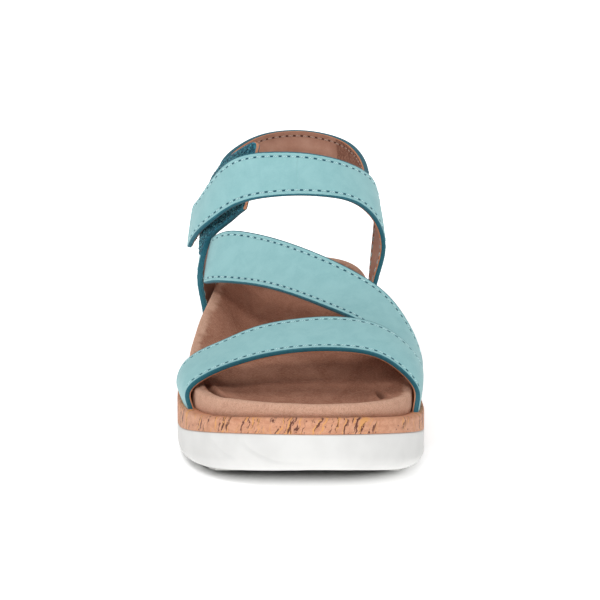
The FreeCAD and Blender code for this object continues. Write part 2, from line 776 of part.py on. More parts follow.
def build():
    midsole = make_midsole()
    parts = [midsole]
    parts.append(make_tread("outsole_forefoot", FOREFOOT_TREAD, FOREFOOT_GROOVES))
    parts.append(make_tread("outsole_heel", HEEL_TREAD, HEEL_GROOVES))
    parts += [make_cork_wrap(), make_platform_core(), make_shank(), make_insole_board()]
    foam = make_footbed_foam()
    parts += [foam, make_footbed_cover(foam.Tool)]

    toe = Ribbon(tail_stations("toe_lateral", True) + free_stations(TOE_STATIONS)
                 + tail_stations("toe_medial", False))
    parts += make_strap("toe_strap", toe)

    instep = Ribbon(free_stations(INSTEP_STATIONS) + tail_stations("instep_medial", False))
    parts += make_strap("instep_strap", instep)

    quarter = Ribbon(tail_stations("quarter_lateral", True) + free_stations(QUARTER_STATIONS))
    parts += make_strap("lateral_quarter", quarter)
    parts.append(make_loop_tape(quarter))

    ankle = Ribbon(free_stations(ANKLE_STATIONS) + tail_stations("quarter_medial", False))
    half_gap = size("hinge_gap") / 2 / ankle.length
    parts += make_strap("ankle_tab", ankle, (0.0, TAB_END - half_gap))
    parts += make_strap("ankle_strap", ankle, (TAB_END + half_gap, STRAP_END - half_gap))
    parts += make_strap("medial_quarter", ankle, (STRAP_END + half_gap, 1.0))
    parts.append(make_hook_tape(ankle))

    parts += heel_strap_pieces(Ribbon(free_stations(HEEL_STATIONS)))

    report_hinge("strap_swing", ankle, STRAP_END)
    report_hinge("tab_peel", ankle, TAB_END)
    return parts


parts = build()
doc.recompute()
for item in doc.Objects:
    if "Invalid" in item.State or "Error" in item.State:
        raise RuntimeError("%s failed to build" % item.Label)
os.makedirs("parts", exist_ok=True)
for part in parts:
    if part.Shape.isNull() or not part.Shape.isValid():
        raise RuntimeError("%s has no valid shape" % part.Label)
    print("%-28s %10.1f mm3  %d solids" % (part.Label, part.Shape.Volume, len(part.Shape.Solids)))
for part in parts:
    part.Shape.exportStep("parts/%s.step" % part.Label)
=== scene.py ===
import math

import bmesh
import bpy
import numpy as np
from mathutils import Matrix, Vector


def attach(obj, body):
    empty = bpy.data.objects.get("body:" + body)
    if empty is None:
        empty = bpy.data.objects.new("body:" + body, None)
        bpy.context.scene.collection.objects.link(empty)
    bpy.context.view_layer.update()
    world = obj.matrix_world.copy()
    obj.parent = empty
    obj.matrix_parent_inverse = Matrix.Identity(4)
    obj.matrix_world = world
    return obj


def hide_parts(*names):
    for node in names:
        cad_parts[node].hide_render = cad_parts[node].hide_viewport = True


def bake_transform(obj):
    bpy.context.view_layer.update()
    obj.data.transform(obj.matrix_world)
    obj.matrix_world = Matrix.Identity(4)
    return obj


# The looks of a right-foot platform sandal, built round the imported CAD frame. Shapes are worked
# out in millimetres in the frame's own axes (X to the big toe, Y to the heel, Z up) and are
# turned into metres when their meshes are made.

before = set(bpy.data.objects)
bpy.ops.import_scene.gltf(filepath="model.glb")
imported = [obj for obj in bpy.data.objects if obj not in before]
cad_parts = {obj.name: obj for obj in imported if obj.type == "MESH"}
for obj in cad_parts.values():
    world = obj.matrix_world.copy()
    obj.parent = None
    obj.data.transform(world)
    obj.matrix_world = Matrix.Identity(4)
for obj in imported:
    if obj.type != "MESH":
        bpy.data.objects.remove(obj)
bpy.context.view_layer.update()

MM = 0.001
RANDOM = np.random.default_rng(20)

# ---------------------------------------------------------------- the sandal's driving shapes

OUTLINE = [
    (0, 133), (-23, 125), (-35, 99), (-38, 55), (-43, 10), (-48, -28), (-48.5, -54), (-44, -84),
    (-31, -112), (-8, -130), (14, -133), (33, -122), (45, -100), (48.5, -74), (46.5, -45),
    (39, -10), (33.5, 25), (32.5, 65), (33, 98), (21, 126),
]
GROUND_LINE = [(-140, 12.5), (-120, 6.6), (-100, 2.9), (-80, 0.7), (-64, 0), (-40, 0), (0, 0),
               (60, 0), (100, 0), (120, 1.2), (140, 4)]
WHITE_TOP = [(-140, 26), (-133, 24.8), (-108, 20.2), (-88, 16.6), (-70, 13.9), (-50, 12.4),
             (-20, 12.4), (30, 13.5), (80, 15), (140, 17)]
CORK_TOP = [(-140, 32.1), (-133, 31), (-108, 26.2), (-88, 23.6), (-70, 22.5), (-50, 23.2),
            (-20, 26), (10, 29), (50, 32), (100, 34.5), (140, 36)]
RIM_LINE = [(-140, 36), (-129, 35.4), (-108, 33.2), (-88, 31.2), (-70, 31.4), (-45, 37.5),
            (-20, 44), (10, 47.8), (50, 47.2), (95, 45), (115, 46.6), (140, 49.2)]
LATERAL_RIM_LINE = [(-140, 36), (-129, 35.4), (-108, 33.2), (-88, 31.2), (-70, 31.4), (-45, 36.8),
                    (-20, 41.4), (-8, 45), (4, 47.6), (20, 50.4), (40, 54), (62, 54.2),
                    (95, 49), (115, 47.2), (140, 49.2)]
BED_LINE = [(-140, 33.5), (-110, 30.3), (-80, 28.2), (-50, 29.3), (-20, 32.6), (10, 35.6),
            (50, 38.2), (90, 39.6), (140, 40.6)]

OUTSOLE_THICKNESS = 1.5
OUTSOLE_INSET = 6.0
GROOVE_PITCH = 9.0
GROOVE_WIDTH = 2.2
GROOVE_DEPTH = 0.8
SOLE_EDGE_RADIUS = 5.0
CORK_THICKNESS = 1.3
FOOTBED_INSET = 4.6
RIM_BLEND = 19.0
FOREFOOT_TREAD = (-100, 24)
HEEL_TREAD = (48, 122)
FOREFOOT_GROOVE = -51
HEEL_GROOVE = 56
LEATHER = 1.8
LINING = 0.45
HEEL_PAD = 2.4
TAPE = 0.6
STITCH_PITCH = 3.7
STITCH_LENGTH = 2.5
STITCH_MARGIN = 2.2
THREAD_RADIUS = 0.3
TAIL_INSET = 1.8
TAIL_LIFT = 1.2
TAIL_EXIT_DROP = 0.5
RIM_CHANGE = 14
LATERAL = -1
MEDIAL = 1

TAILS = {
    "toe_lateral": (LATERAL, -80, -57),
    "toe_medial": (MEDIAL, -90, -67),
    "instep_medial": (MEDIAL, -65.5, -45),
    "quarter_lateral": (LATERAL, 21, 56),
    "quarter_medial": (MEDIAL, 40, 61),
}

# Strap stations between the tails: front (or lower) edge, rear (or upper) edge, bulge.
TOE_STATIONS = [
    ((-44.6, -79.5, 28), (-48.8, -57, 29), 0.6),
    ((-43.4, -79, 31.5), (-47.4, -56, 34.5), 0.8),
    ((-38.9, -78, 35.2), (-42.5, -55, 39.8), 0.6),
    ((-29.2, -76.5, 39.6), (-32, -54.5, 45), 0.4),
    ((-15.6, -75, 43.4), (-18, -54, 50.8), 0.3),
    ((0, -74.5, 45.8), (0, -53.5, 54.2), 0.3),
    ((17.5, -75.5, 46.2), (17.7, -54.5, 54.9), 0.4),
    ((31, -78, 44), (31.5, -57.5, 52.4), 0.6),
    ((40.7, -82, 38.2), (42, -61.5, 45.8), 0.8),
    ((46, -86, 31.6), (48.2, -65.5, 36.5), 0.6),
]
INSTEP_STATIONS = [
    ((-38.7, 30, 54.5), (-36.3, 43, 69.5), 0.3),
    ((-39.9, 21, 54.6), (-36.2, 34.5, 72), 0.5),
    ((-37, 14.5, 56.3), (-31.5, 28, 75.3), 0.6),
    ((-28, 6, 57.7), (-21.5, 19, 76.6), 0.5),
    ((-14, -7.5, 58.2), (-5.8, 5, 75), 0.4),
    ((-1, -20, 56.7), (10, -7.5, 71), 0.3),
    ((12.5, -33, 54), (24, -16.5, 65.4), 0.3),
    ((25, -46, 50.5), (36, -25.5, 57.8), 0.4),
    ((35, -57, 44), (44, -34.5, 47.8), 0.5),
    ((44.2, -64.4, 35.4), (48.2, -40.8, 38), 0.6),
    ((46.3, -65.3, 28.5), (48.6, -43.8, 30), 0.5),
]
QUARTER_STATIONS = [
    ((-40.7, 21, 44), (-37.4, 57, 47), 0.6),
    ((-42.6, 22.5, 55), (-38.8, 59, 58), 1.0),
    ((-41.2, 29.5, 65), (-39.6, 61, 71), 1.0),
    ((-37.1, 36, 72.4), (-39.9, 61, 85.5), 0.9),
    ((-31.2, 36.2, 77.2), (-35.2, 58.6, 96.4), 0.7),
    ((-26.6, 33.2, 81.4), (-28.2, 50, 104.6), 0.6),
    ((-23, 30.5, 84.5), (-17.5, 41.5, 112), 0.3),
]
ANKLE_STATIONS = [
    ((-47.7, 46, 64.2), (-45.4, 59.2, 81.6), 0.2),
    ((-43.3, 38, 73.2), (-41.5, 51.6, 87.4), 0.3),
    ((-37.2, 32.6, 79.2), (-36.3, 46, 95.6), 0.4),
    ((-29.9, 28.6, 84.8), (-29.6, 40.3, 102.9), 0.4),
    ((-22.4, 25, 88.5), (-21.6, 35, 106.8), 0.3),
    ((-12, 22.2, 90.7), (-11, 31, 108.3), 0.3),
    ((0.5, 21, 91.5), (1, 29.5, 108.2), 0.3),
    ((12, 22, 90.8), (13.6, 32, 105.7), 0.3),
    ((22, 25.3, 88.4), (24.4, 39.4, 100.6), 0.4),
    ((30, 30, 82.4), (31.6, 47.5, 92.8), 0.6),
    ((35, 34.4, 73), (33.2, 54, 79), 0.9),
    ((35.4, 37.4, 62.5), (32.2, 58, 64.5), 0.7),
    ((32.4, 39.4, 51), (31.4, 60, 52), 0.4),
]
HEEL_STATIONS = [
    ((30.5, 50, 80.5), (29, 51, 91), 0.2),
    ((30.6, 60, 80), (29.2, 60, 93.2), 0.3),
    ((30.2, 76, 78.8), (28.6, 76, 96.4), 0.4),
    ((27.4, 95, 77.8), (25.2, 94, 100.1), 0.5),
    ((17, 113, 76.5), (16.4, 111.4, 103.3), 0.6),
    ((2, 120.2, 77.8), (2, 118.4, 105.2), 0.7),
    ((-13, 115.4, 77.6), (-13.4, 112.8, 105.1), 0.6),
    ((-27.4, 98.4, 76), (-27, 96, 101.6), 0.5),
    ((-34.6, 80, 74), (-34, 80, 96.6), 0.4),
    ((-36.5, 66, 72), (-35.3, 66, 91.4), 0.3),
    ((-36.5, 54, 70.5), (-35.2, 56, 87.5), 0.2),
]

# Places along a strap are shares of its length, from 0 at its first station to 1 at its last.
TAB_END = 0.20
STRAP_END = 0.535
STRAP_MIDDLE = 0.36
LOOP_START = 0.55
PAD_RANGE = (0.385, 0.86)

# The sole's top edge as insets and drops, and the middle line that its bottom closes on: how far
# it reaches each way from the middle, and how much shorter it is than the outline.
TOP_EDGE = [(5.0, 0.1), (1.4, 0.02), (0.5, 0.06), (0.12, 0.3), (0.0, 0.8)]
SOLE_SPINE = (96, 1.0)
BED_SPINE = (92, 0.94)

# Moulded steps in the toe's wall, as (X, Z) lines with a height and the run behind and ahead.
CREASES = [
    ([(-24.5, 23.0), (-22.8, 20.5), (-21.3, 17.9), (-17.6, 15.5), (-11.4, 13.2), (-5.2, 12.5), (6.0, 12.2)],
     0.65, 16.0, 1.1),
    ([(-36.0, 19.0), (-32.5, 15.0), (-28.0, 12.4), (-23.0, 11.2)], 0.4, 10.0, 1.2),
]

LUG_INSET = 1.2
LUG_WAVE = 0.9
LUG_WAVE_LENGTH = 22
PLATE_CORNER = 9.0

FOOTBED_LIP = 1.7
# Dents of the toes, the ball and the heel: middle X and Y, radius along X and Y, depth.
DENTS = [(24, -86, 13, 15, 0.9), (4, -95, 9, 9, 0.5), (-9, -92, 7, 8, 0.45),
         (-20, -84, 6.5, 8, 0.4), (6, 88, 22, 26, 1.0), (4, -42, 26, 20, 0.6)]
# Wrinkles in the suede: a line of (X, Y) points, its depth and its half width.
WRINKLES = [
    ([(-37.5, -66), (-34.5, -76), (-31.5, -88), (-27.5, -103)], 1.9, 1.2),
    ([(-37.5, -74), (-31.0, -92), (-22.0, -104)], 0.8, 3.6),
    ([(-28.0, -102), (-23.5, -106), (-18.0, -107)], 1.2, 1.1),
    ([(-14.0, -112), (2.0, -113.5), (16.0, -111), (30.0, -103)], 0.7, 1.7),
    ([(-4.0, -107), (12.0, -107), (25.0, -101), (35.0, -91)], 0.75, 2.0),
    ([(30.2, -71), (31.8, -84), (33.0, -98)], 1.8, 1.0),
    ([(31.5, -101), (26.0, -107)], 0.5, 1.2),
]

# Distances in from a strap's edge of its rows of points, close together round the seam.
SEAM_CELLS = np.array([0.0, 0.35, 0.75, 1.1, 1.35, 1.55, 1.75, 1.95, 2.15, 2.45, 2.9])
MIDDLE_CELLS = 16
CAP_PULL = 0.12
LOOP_COUNT = 3600
LOOP_RADIUS = 0.085
HOOK_RADIUS = 0.12

CAMERA_LENS = 220.2
CAMERA_DISTANCE = 1.5
CAMERA_ELEVATION = 10.5
CAMERA_TARGET_HEIGHT = 0.0514
WORLD_STRENGTH = 0.3
FLOOR_REACH = 14


# ---------------------------------------------------------------- lines

def smooth_step(x):
    x = np.clip(x, 0.0, 1.0)
    return x * x * (3 - 2 * x)


class Spline:
    """A smooth curve through points at the given knots. A closed one repeats its first point."""

    def __init__(self, knots, points, closed=False):
        self.knots = np.asarray(knots, float)
        self.points = np.asarray(points, float)
        steps = np.diff(self.knots)[:, None]
        slopes = np.diff(self.points, axis=0) / steps
        count = len(self.knots)
        system = np.zeros((count, count))
        right = np.zeros_like(self.points)
        for i in range(1, count - 1):
            system[i, i - 1] = steps[i - 1, 0]
            system[i, i] = 2 * (steps[i - 1, 0] + steps[i, 0])
            system[i, i + 1] = steps[i, 0]
            right[i] = 6 * (slopes[i] - slopes[i - 1])
        if closed:
            system[0, 0], system[0, -1] = 1, -1
            system[-1, 0], system[-1, 1] = 2 * steps[0, 0], steps[0, 0]
            system[-1, -2], system[-1, -1] = steps[-1, 0], 2 * steps[-1, 0]
            right[-1] = 6 * (slopes[0] - slopes[-1])
        else:
            system[0, 0], system[0, 1] = 2 * steps[0, 0], steps[0, 0]
            right[0] = 6 * (slopes[0] - self.end_slope(slice(0, 4), 0))
            system[-1, -2], system[-1, -1] = steps[-1, 0], 2 * steps[-1, 0]
            right[-1] = 6 * (self.end_slope(slice(-4, None), -1) - slopes[-1])
        self.bends = np.linalg.solve(system, right)

    def end_slope(self, span, at):
        """The slope at an end of the cubic through the four points there."""
        knots = self.knots[span] - self.knots[at]
        return np.array([np.polyfit(knots, column, 3)[2] for column in self.points[span].T])

    def __call__(self, u):
        u = np.clip(np.asarray(u, float), self.knots[0], self.knots[-1])
        i = np.clip(np.searchsorted(self.knots, u, side="right") - 1, 0, len(self.knots) - 2)
        step = (self.knots[i + 1] - self.knots[i])[..., None]
        b = ((u - self.knots[i])[..., None]) / step
        a = 1 - b
        low, high = self.points[i], self.points[i + 1]
        bend = (a ** 3 - a) * self.bends[i] + (b ** 3 - b) * self.bends[i + 1]
        return a * low + b * high + bend * step ** 2 / 6


def chord_knots(points):
    points = np.asarray(points, float)
    return np.concatenate([[0], np.cumsum(np.linalg.norm(np.diff(points, axis=0), axis=1))])


def height_on(line, y):
    """The height of a side line at Y."""
    knots = chord_knots(line)
    dense = Spline(knots, line)(np.linspace(0, knots[-1], 1500))
    return np.interp(y, dense[:, 0], dense[:, 1])


def outline(inset, count=520):
    """Evenly spaced points of the sole's outline moved inwards, from the heel by the little toe."""
    points = np.array(OUTLINE + OUTLINE[:1], float)
    knots = chord_knots(points)
    base = Spline(knots, points, closed=True)
    probe = 0.01
    tangents = base(np.where(knots + probe > knots[-1], probe, knots + probe)) - points
    inwards = np.stack([tangents[:, 1], -tangents[:, 0]], axis=1)
    inwards /= np.linalg.norm(inwards, axis=1)[:, None]
    inwards *= np.where((inwards * points).sum(1) > 0, -1, 1)[:, None]
    moved = points + inwards * inset
    moved[-1] = moved[0]
    knots = chord_knots(moved)
    dense = Spline(knots, moved, closed=True)(np.linspace(0, knots[-1], 6000))
    along = chord_knots(dense)
    places = np.linspace(0, along[-1], count, endpoint=False)
    return np.stack([np.interp(places, along, dense[:, 0]), np.interp(places, along, dense[:, 1])], axis=1)


def side_point(side, y, inset, z):
    ring = outline(inset, 2000)
    ring = ring[ring[:, 0] * side > 0]
    order = np.argsort(ring[:, 1])
    return [float(np.interp(y, ring[order, 1], ring[order, 0])), y, float(z)]


def spine_for(ring, reach, lean):
    """For each ring point, the point of the sole's middle line that it runs in to."""
    y = np.clip(ring[:, 1] * lean, -reach, reach)
    sides = [ring[ring[:, 0] < middle_x(ring)], ring[ring[:, 0] >= middle_x(ring)]]
    edges = []
    for part in sides:
        order = np.argsort(part[:, 1])
        edges.append(np.interp(y, part[order, 1], part[order, 0]))
    return np.stack([(edges[0] + edges[1]) / 2, y], axis=1)


def middle_x(ring):
    """The X of the line from the heel's end to the toe's end, at each ring point's Y."""
    back, front = ring[ring[:, 1].argmax()], ring[ring[:, 1].argmin()]
    share = (ring[:, 1] - front[1]) / (back[1] - front[1])
    return front[0] + share * (back[0] - front[0])


# ---------------------------------------------------------------- meshes

def grid_faces(rows, columns, close_rows=False, close_columns=False, flip=False):
    """Quads of a grid of points, stored row by row."""
    i = np.arange(rows if close_rows else rows - 1)
    j = np.arange(columns if close_columns else columns - 1)
    i, j = np.meshgrid(i, j, indexing="ij")
    below, right = (i + 1) % rows, (j + 1) % columns
    quads = np.stack([i * columns + j, i * columns + right, below * columns + right, below * columns + j], -1)
    quads = quads.reshape(-1, 4)
    return quads[:, ::-1] if flip else quads


class Shape:
    """A mesh under construction: points in millimetres, faces, and values kept at the points."""

    def __init__(self):
        self.points = []
        self.faces = []
        self.flat = []
        self.values = {}
        self.count = 0

    def add(self, points, faces, **values):
        points = np.asarray(points, float).reshape(-1, 3)
        for name in set(self.values) | set(values):
            held = self.values.setdefault(name, [np.zeros(self.count)] if self.count else [])
            held.append(np.broadcast_to(np.asarray(values.get(name, 0.0), float), (len(points),)).ravel())
        self.points.append(points)
        self.faces += (np.asarray(faces) + self.count).tolist()
        self.count += len(points)

    def polygons(self, faces, flat=False):
        """Faces of any length, given in the numbering of the whole shape. Flat ones have sharp edges."""
        if flat:
            self.flat += range(len(self.faces), len(self.faces) + len(faces))
        self.faces += [list(map(int, face)) for face in faces]

    def make(self, name, material, slot, replaces=(), body="sandal"):
        points = np.concatenate(self.points)
        mesh = bpy.data.meshes.new(name)
        mesh.from_pydata((points * MM).tolist(), [], self.faces)
        mesh.update()
        rest = mesh.attributes.new("rest", "FLOAT_VECTOR", "POINT")
        rest.data.foreach_set("vector", points.astype(np.float32).ravel())
        for key, parts in self.values.items():
            layer = mesh.attributes.new(key, "FLOAT", "POINT")
            layer.data.foreach_set("value", np.concatenate(parts).astype(np.float32))
        smooth = np.ones(len(mesh.polygons), bool)
        smooth[self.flat] = False
        mesh.polygons.foreach_set("use_smooth", smooth)
        mesh.materials.append(material)
        piece = bpy.data.objects.new(name, mesh)
        bpy.context.scene.collection.objects.link(piece)
        if replaces:
            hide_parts(*replaces)
        if body:
            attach(piece, body)
        return piece


# ---------------------------------------------------------------- materials

def srgb(red, green, blue):
    """A colour given in 0 to 255 display values, as the linear colour that a shader takes."""
    linear = []
    for channel in (red, green, blue):
        c = channel / 255
        linear.append(c / 12.92 if c <= 0.04045 else ((c + 0.055) / 1.055) ** 2.4)
    return (*linear, 1.0)


class Paint:
    """A node material under construction. Each call adds a node and returns its output."""

    def __init__(self, name, cad=False, **sockets):
        self.material = bpy.data.materials.new(name)
        self.material.use_nodes = True
        self.tree = self.material.node_tree
        self.shader = self.tree.nodes["Principled BSDF"]
        for socket, value in sockets.items():
            self.shader.inputs[socket.replace("_", " ")].default_value = value
        self.place = self.cad_place() if cad else self.attribute("rest", "Vector")

    def cad_place(self):
        """The place on a CAD solid in millimetres, from its own object axes."""
        coordinates = self.tree.nodes.new("ShaderNodeTexCoord")
        scale = self.tree.nodes.new("ShaderNodeVectorMath")
        scale.operation = "SCALE"
        scale.inputs["Scale"].default_value = 1 / MM
        self.tree.links.new(coordinates.outputs["Object"], scale.inputs[0])
        return scale.outputs[0]

    def plug(self, socket, value):
        if isinstance(value, bpy.types.NodeSocket):
            self.tree.links.new(value, socket)
        else:
            socket.default_value = value

    def attribute(self, name, output="Fac"):
        node = self.tree.nodes.new("ShaderNodeAttribute")
        node.attribute_name = name
        return node.outputs[output]

    def stretched(self, x, y, z):
        node = self.tree.nodes.new("ShaderNodeVectorMath")
        node.operation = "MULTIPLY"
        self.plug(node.inputs[0], self.place)
        node.inputs[1].default_value = (x, y, z)
        return node.outputs[0]

    def vector(self, x, y, z):
        node = self.tree.nodes.new("ShaderNodeCombineXYZ")
        for socket, value in zip(node.inputs, (x, y, z)):
            self.plug(socket, value)
        return node.outputs[0]

    def noise(self, scale, detail=3.0, rough=0.55, place=None, warp=0.0):
        node = self.tree.nodes.new("ShaderNodeTexNoise")
        node.inputs["Scale"].default_value = scale
        node.inputs["Detail"].default_value = detail
        node.inputs["Roughness"].default_value = rough
        node.inputs["Distortion"].default_value = warp
        self.plug(node.inputs["Vector"], place or self.place)
        return node.outputs["Fac"]

    def cells(self, scale):
        node = self.tree.nodes.new("ShaderNodeTexVoronoi")
        node.inputs["Scale"].default_value = scale
        self.plug(node.inputs["Vector"], self.place)
        return node.outputs["Distance"]

    def maths(self, kind, a, b=0.0):
        node = self.tree.nodes.new("ShaderNodeMath")
        node.operation = kind
        self.plug(node.inputs[0], a)
        self.plug(node.inputs[1], b)
        return node.outputs[0]

    def times(self, a, b):
        return self.maths("MULTIPLY", a, b)

    def ragged(self, value, noise, reach):
        """The value made uneven by a noise, by up to half the reach either way."""
        return self.maths("ADD", value, self.times(self.maths("SUBTRACT", noise, 0.5), reach))

    def fade(self, value, low, high, to_low=0.0, to_high=1.0):
        """The value's share between low and high, smoothed at both ends."""
        node = self.tree.nodes.new("ShaderNodeMapRange")
        node.interpolation_type = "SMOOTHSTEP"
        self.plug(node.inputs["Value"], value)
        node.inputs["From Min"].default_value = low
        node.inputs["From Max"].default_value = high
        node.inputs["To Min"].default_value = to_low
        node.inputs["To Max"].default_value = to_high
        return node.outputs["Result"]

    def mix(self, share, a, b):
        node = self.tree.nodes.new("ShaderNodeMix")
        node.data_type = "RGBA"
        self.plug(node.inputs["Factor"], share)
        self.plug(node.inputs[6], a)
        self.plug(node.inputs[7], b)
        return node.outputs[2]

    def bump(self, height, distance, strength, under=None):
        node = self.tree.nodes.new("ShaderNodeBump")
        node.inputs["Distance"].default_value = distance * MM
        node.inputs["Strength"].default_value = strength
        self.plug(node.inputs["Height"], height)
        if under is not None:
            self.plug(node.inputs["Normal"], under)
        return node.outputs["Normal"]

    def finish(self, colour, rough=None, normal=None):
        self.plug(self.shader.inputs["Base Color"], colour)
        if rough is not None:
            self.plug(self.shader.inputs["Roughness"], rough)
        if normal is not None:
            self.plug(self.shader.inputs["Normal"], normal)
        return self.material


def needle_mask(paint):
    """Where the needle holes are, from the stitch count and the distance from the seam."""
    phase = paint.maths("FRACT", paint.attribute("stitch"))
    from_middle = paint.maths("ABSOLUTE", paint.maths("SUBTRACT", phase, 0.5))
    from_hole = paint.times(paint.maths("SUBTRACT", 0.5, from_middle), STITCH_PITCH)
    seam = paint.maths("ABSOLUTE", paint.attribute("seam"))
    along = paint.fade(from_hole, 0.5, 0.9, 1.0, 0.0)
    across = paint.fade(seam, 0.26, 0.5, 1.0, 0.0)
    return paint.times(paint.times(along, across), paint.attribute("sewn"))


def nubuck():
    """Light teal nubuck: soft blotches, a fine nap, painted shade in the stitch groove and the needle holes,
    and a painted cut edge.
    """
    paint = Paint("nubuck_teal", Roughness=0.82, Sheen_Weight=0.22, Sheen_Roughness=0.45,
                  Specular_IOR_Level=0.25)
    blotch = paint.noise(0.16, 5, 0.62, warp=0.4)
    nap = paint.noise(1.7, 5, 0.68)
    grain = paint.noise(6.5, 2, 0.6)
    colour = paint.mix(paint.fade(blotch, 0.3, 0.7), NUBUCK_DEEP, NUBUCK_PALE)
    colour = paint.mix(paint.fade(nap, 0.25, 0.8, 0.0, 0.32), colour, NUBUCK_NAP)
    colour = paint.mix(paint.fade(grain, 0.62, 0.85, 0.0, 0.3), colour, NUBUCK_PORE)
    seam = paint.maths("ABSOLUTE", paint.attribute("seam"))
    # Painted shade along the stitch groove, darkest at its middle.
    groove = paint.times(paint.fade(seam, 0.1, 0.75, 0.3, 0.0), paint.attribute("sewn"))
    colour = paint.mix(groove, colour, NUBUCK_SEAM_SHADE)
    # Painted shade in the needle holes.
    colour = paint.mix(needle_mask(paint), colour, NEEDLE_HOLE_SHADE)
    streaks = paint.noise(0.9, 3)
    edge_colour = paint.mix(streaks, EDGE_DARK, EDGE_LIGHT)
    edge_colour = paint.mix(paint.attribute("bare"), edge_colour, CUT_EDGE)
    painted = paint.fade(paint.ragged(paint.attribute("edge"), paint.noise(0.8, 2), 0.35), 0.42, 0.6)
    colour = paint.mix(painted, colour, edge_colour)
    rough = paint.fade(painted, 0.0, 1.0, 0.86, 0.5)
    fine = paint.bump(grain, 0.05, 0.5)
    return paint.finish(colour, rough, paint.bump(nap, 0.16, 0.55, fine))


def lining_leather(name, pale, deep, cut_edges, rough=0.62):
    """Smooth tan lining with pores and faint creases. Its cut edge is orange, or painted teal."""
    paint = Paint(name, Specular_IOR_Level=0.35)
    blotch = paint.noise(0.09, 4, 0.6)
    pores = paint.cells(2.4)
    grain = paint.noise(3.2, 3, 0.6)
    colour = paint.mix(paint.fade(blotch, 0.3, 0.72), deep, pale)
    colour = paint.mix(paint.fade(pores, 0.0, 0.22, 0.35, 0.0), colour, LINING_PORE)
    colour = paint.mix(paint.fade(grain, 0.45, 0.8, 0.0, 0.2), colour, LINING_PORE)
    raw = paint.times(paint.attribute("plain"), paint.fade(paint.noise(1.1, 5, 0.7), 0.3, 0.7))
    colour = paint.mix(raw, colour, LINING_RAW)
    # Painted shade in the needle holes.
    colour = paint.mix(needle_mask(paint), colour, LINING_HOLE_SHADE)
    cut = paint.mix(paint.noise(1.6, 3), *cut_edges)
    colour = paint.mix(paint.fade(paint.attribute("edge"), 0.4, 0.6), colour, cut)
    fine = paint.bump(pores, 0.05, 0.4)
    shine = paint.fade(grain, 0.2, 0.8, rough, rough + 0.2)
    return paint.finish(colour, shine, paint.bump(grain, 0.07, 0.5, fine))


def thread(name, pale, deep):
    """Spun sewing thread: two plies, with painted shade in the twist line between them."""
    paint = Paint(name, Roughness=0.6, Sheen_Weight=0.3, Sheen_Roughness=0.5)
    fuzz = paint.noise(7.0, 3)
    # Painted shade: the deep colour lies in the groove between the plies.
    twist = paint.fade(paint.attribute("ply"), 0.15, 0.6)
    colour = paint.mix(twist, deep, pale)
    colour = paint.mix(paint.fade(fuzz, 0.4, 0.8, 0.0, 0.35), colour, deep)
    return paint.finish(colour, None, paint.bump(fuzz, 0.03, 0.6))


def suede():
    """The footbed's brown suede: brushed nap, a painted highlight on the lip and side wall, painted shade in
    the dish's wrinkles and dents.
    """
    paint = Paint("footbed_suede", Roughness=0.95, Sheen_Weight=0.15, Sheen_Roughness=0.5,
                  Sheen_Tint=srgb(236, 176, 146), Specular_IOR_Level=0.1)
    brushed = paint.noise(0.06, 4, 0.6, place=paint.stretched(1.6, 0.7, 1.0), warp=0.8)
    nap = paint.noise(1.2, 6, 0.72)
    fibre = paint.noise(3.6, 4, 0.7)
    colour = paint.mix(paint.fade(brushed, 0.32, 0.68), SUEDE_DEEP, SUEDE_MID)
    # Painted highlight on the lip and the side wall.
    lip = paint.ragged(paint.attribute("lip"), paint.noise(0.2, 5, 0.65), 1.8)
    colour = paint.mix(paint.fade(lip, 0.2, 1.0, 0.0, 0.85), colour, SUEDE_LIP_HIGHLIGHT)
    colour = paint.mix(paint.fade(nap, 0.44, 0.62, 0.0, 0.55), colour, SUEDE_PALE)
    colour = paint.mix(paint.fade(fibre, 0.5, 0.66, 0.0, 0.45), colour, SUEDE_DARK_FIBRE)
    # Painted shade in the wrinkles and dents.
    colour = paint.mix(paint.times(paint.attribute("worn"), 0.7), colour, SUEDE_SHADE)
    fine = paint.bump(fibre, 0.08, 0.5)
    return paint.finish(colour, None, paint.bump(nap, 0.5, 0.75, fine))


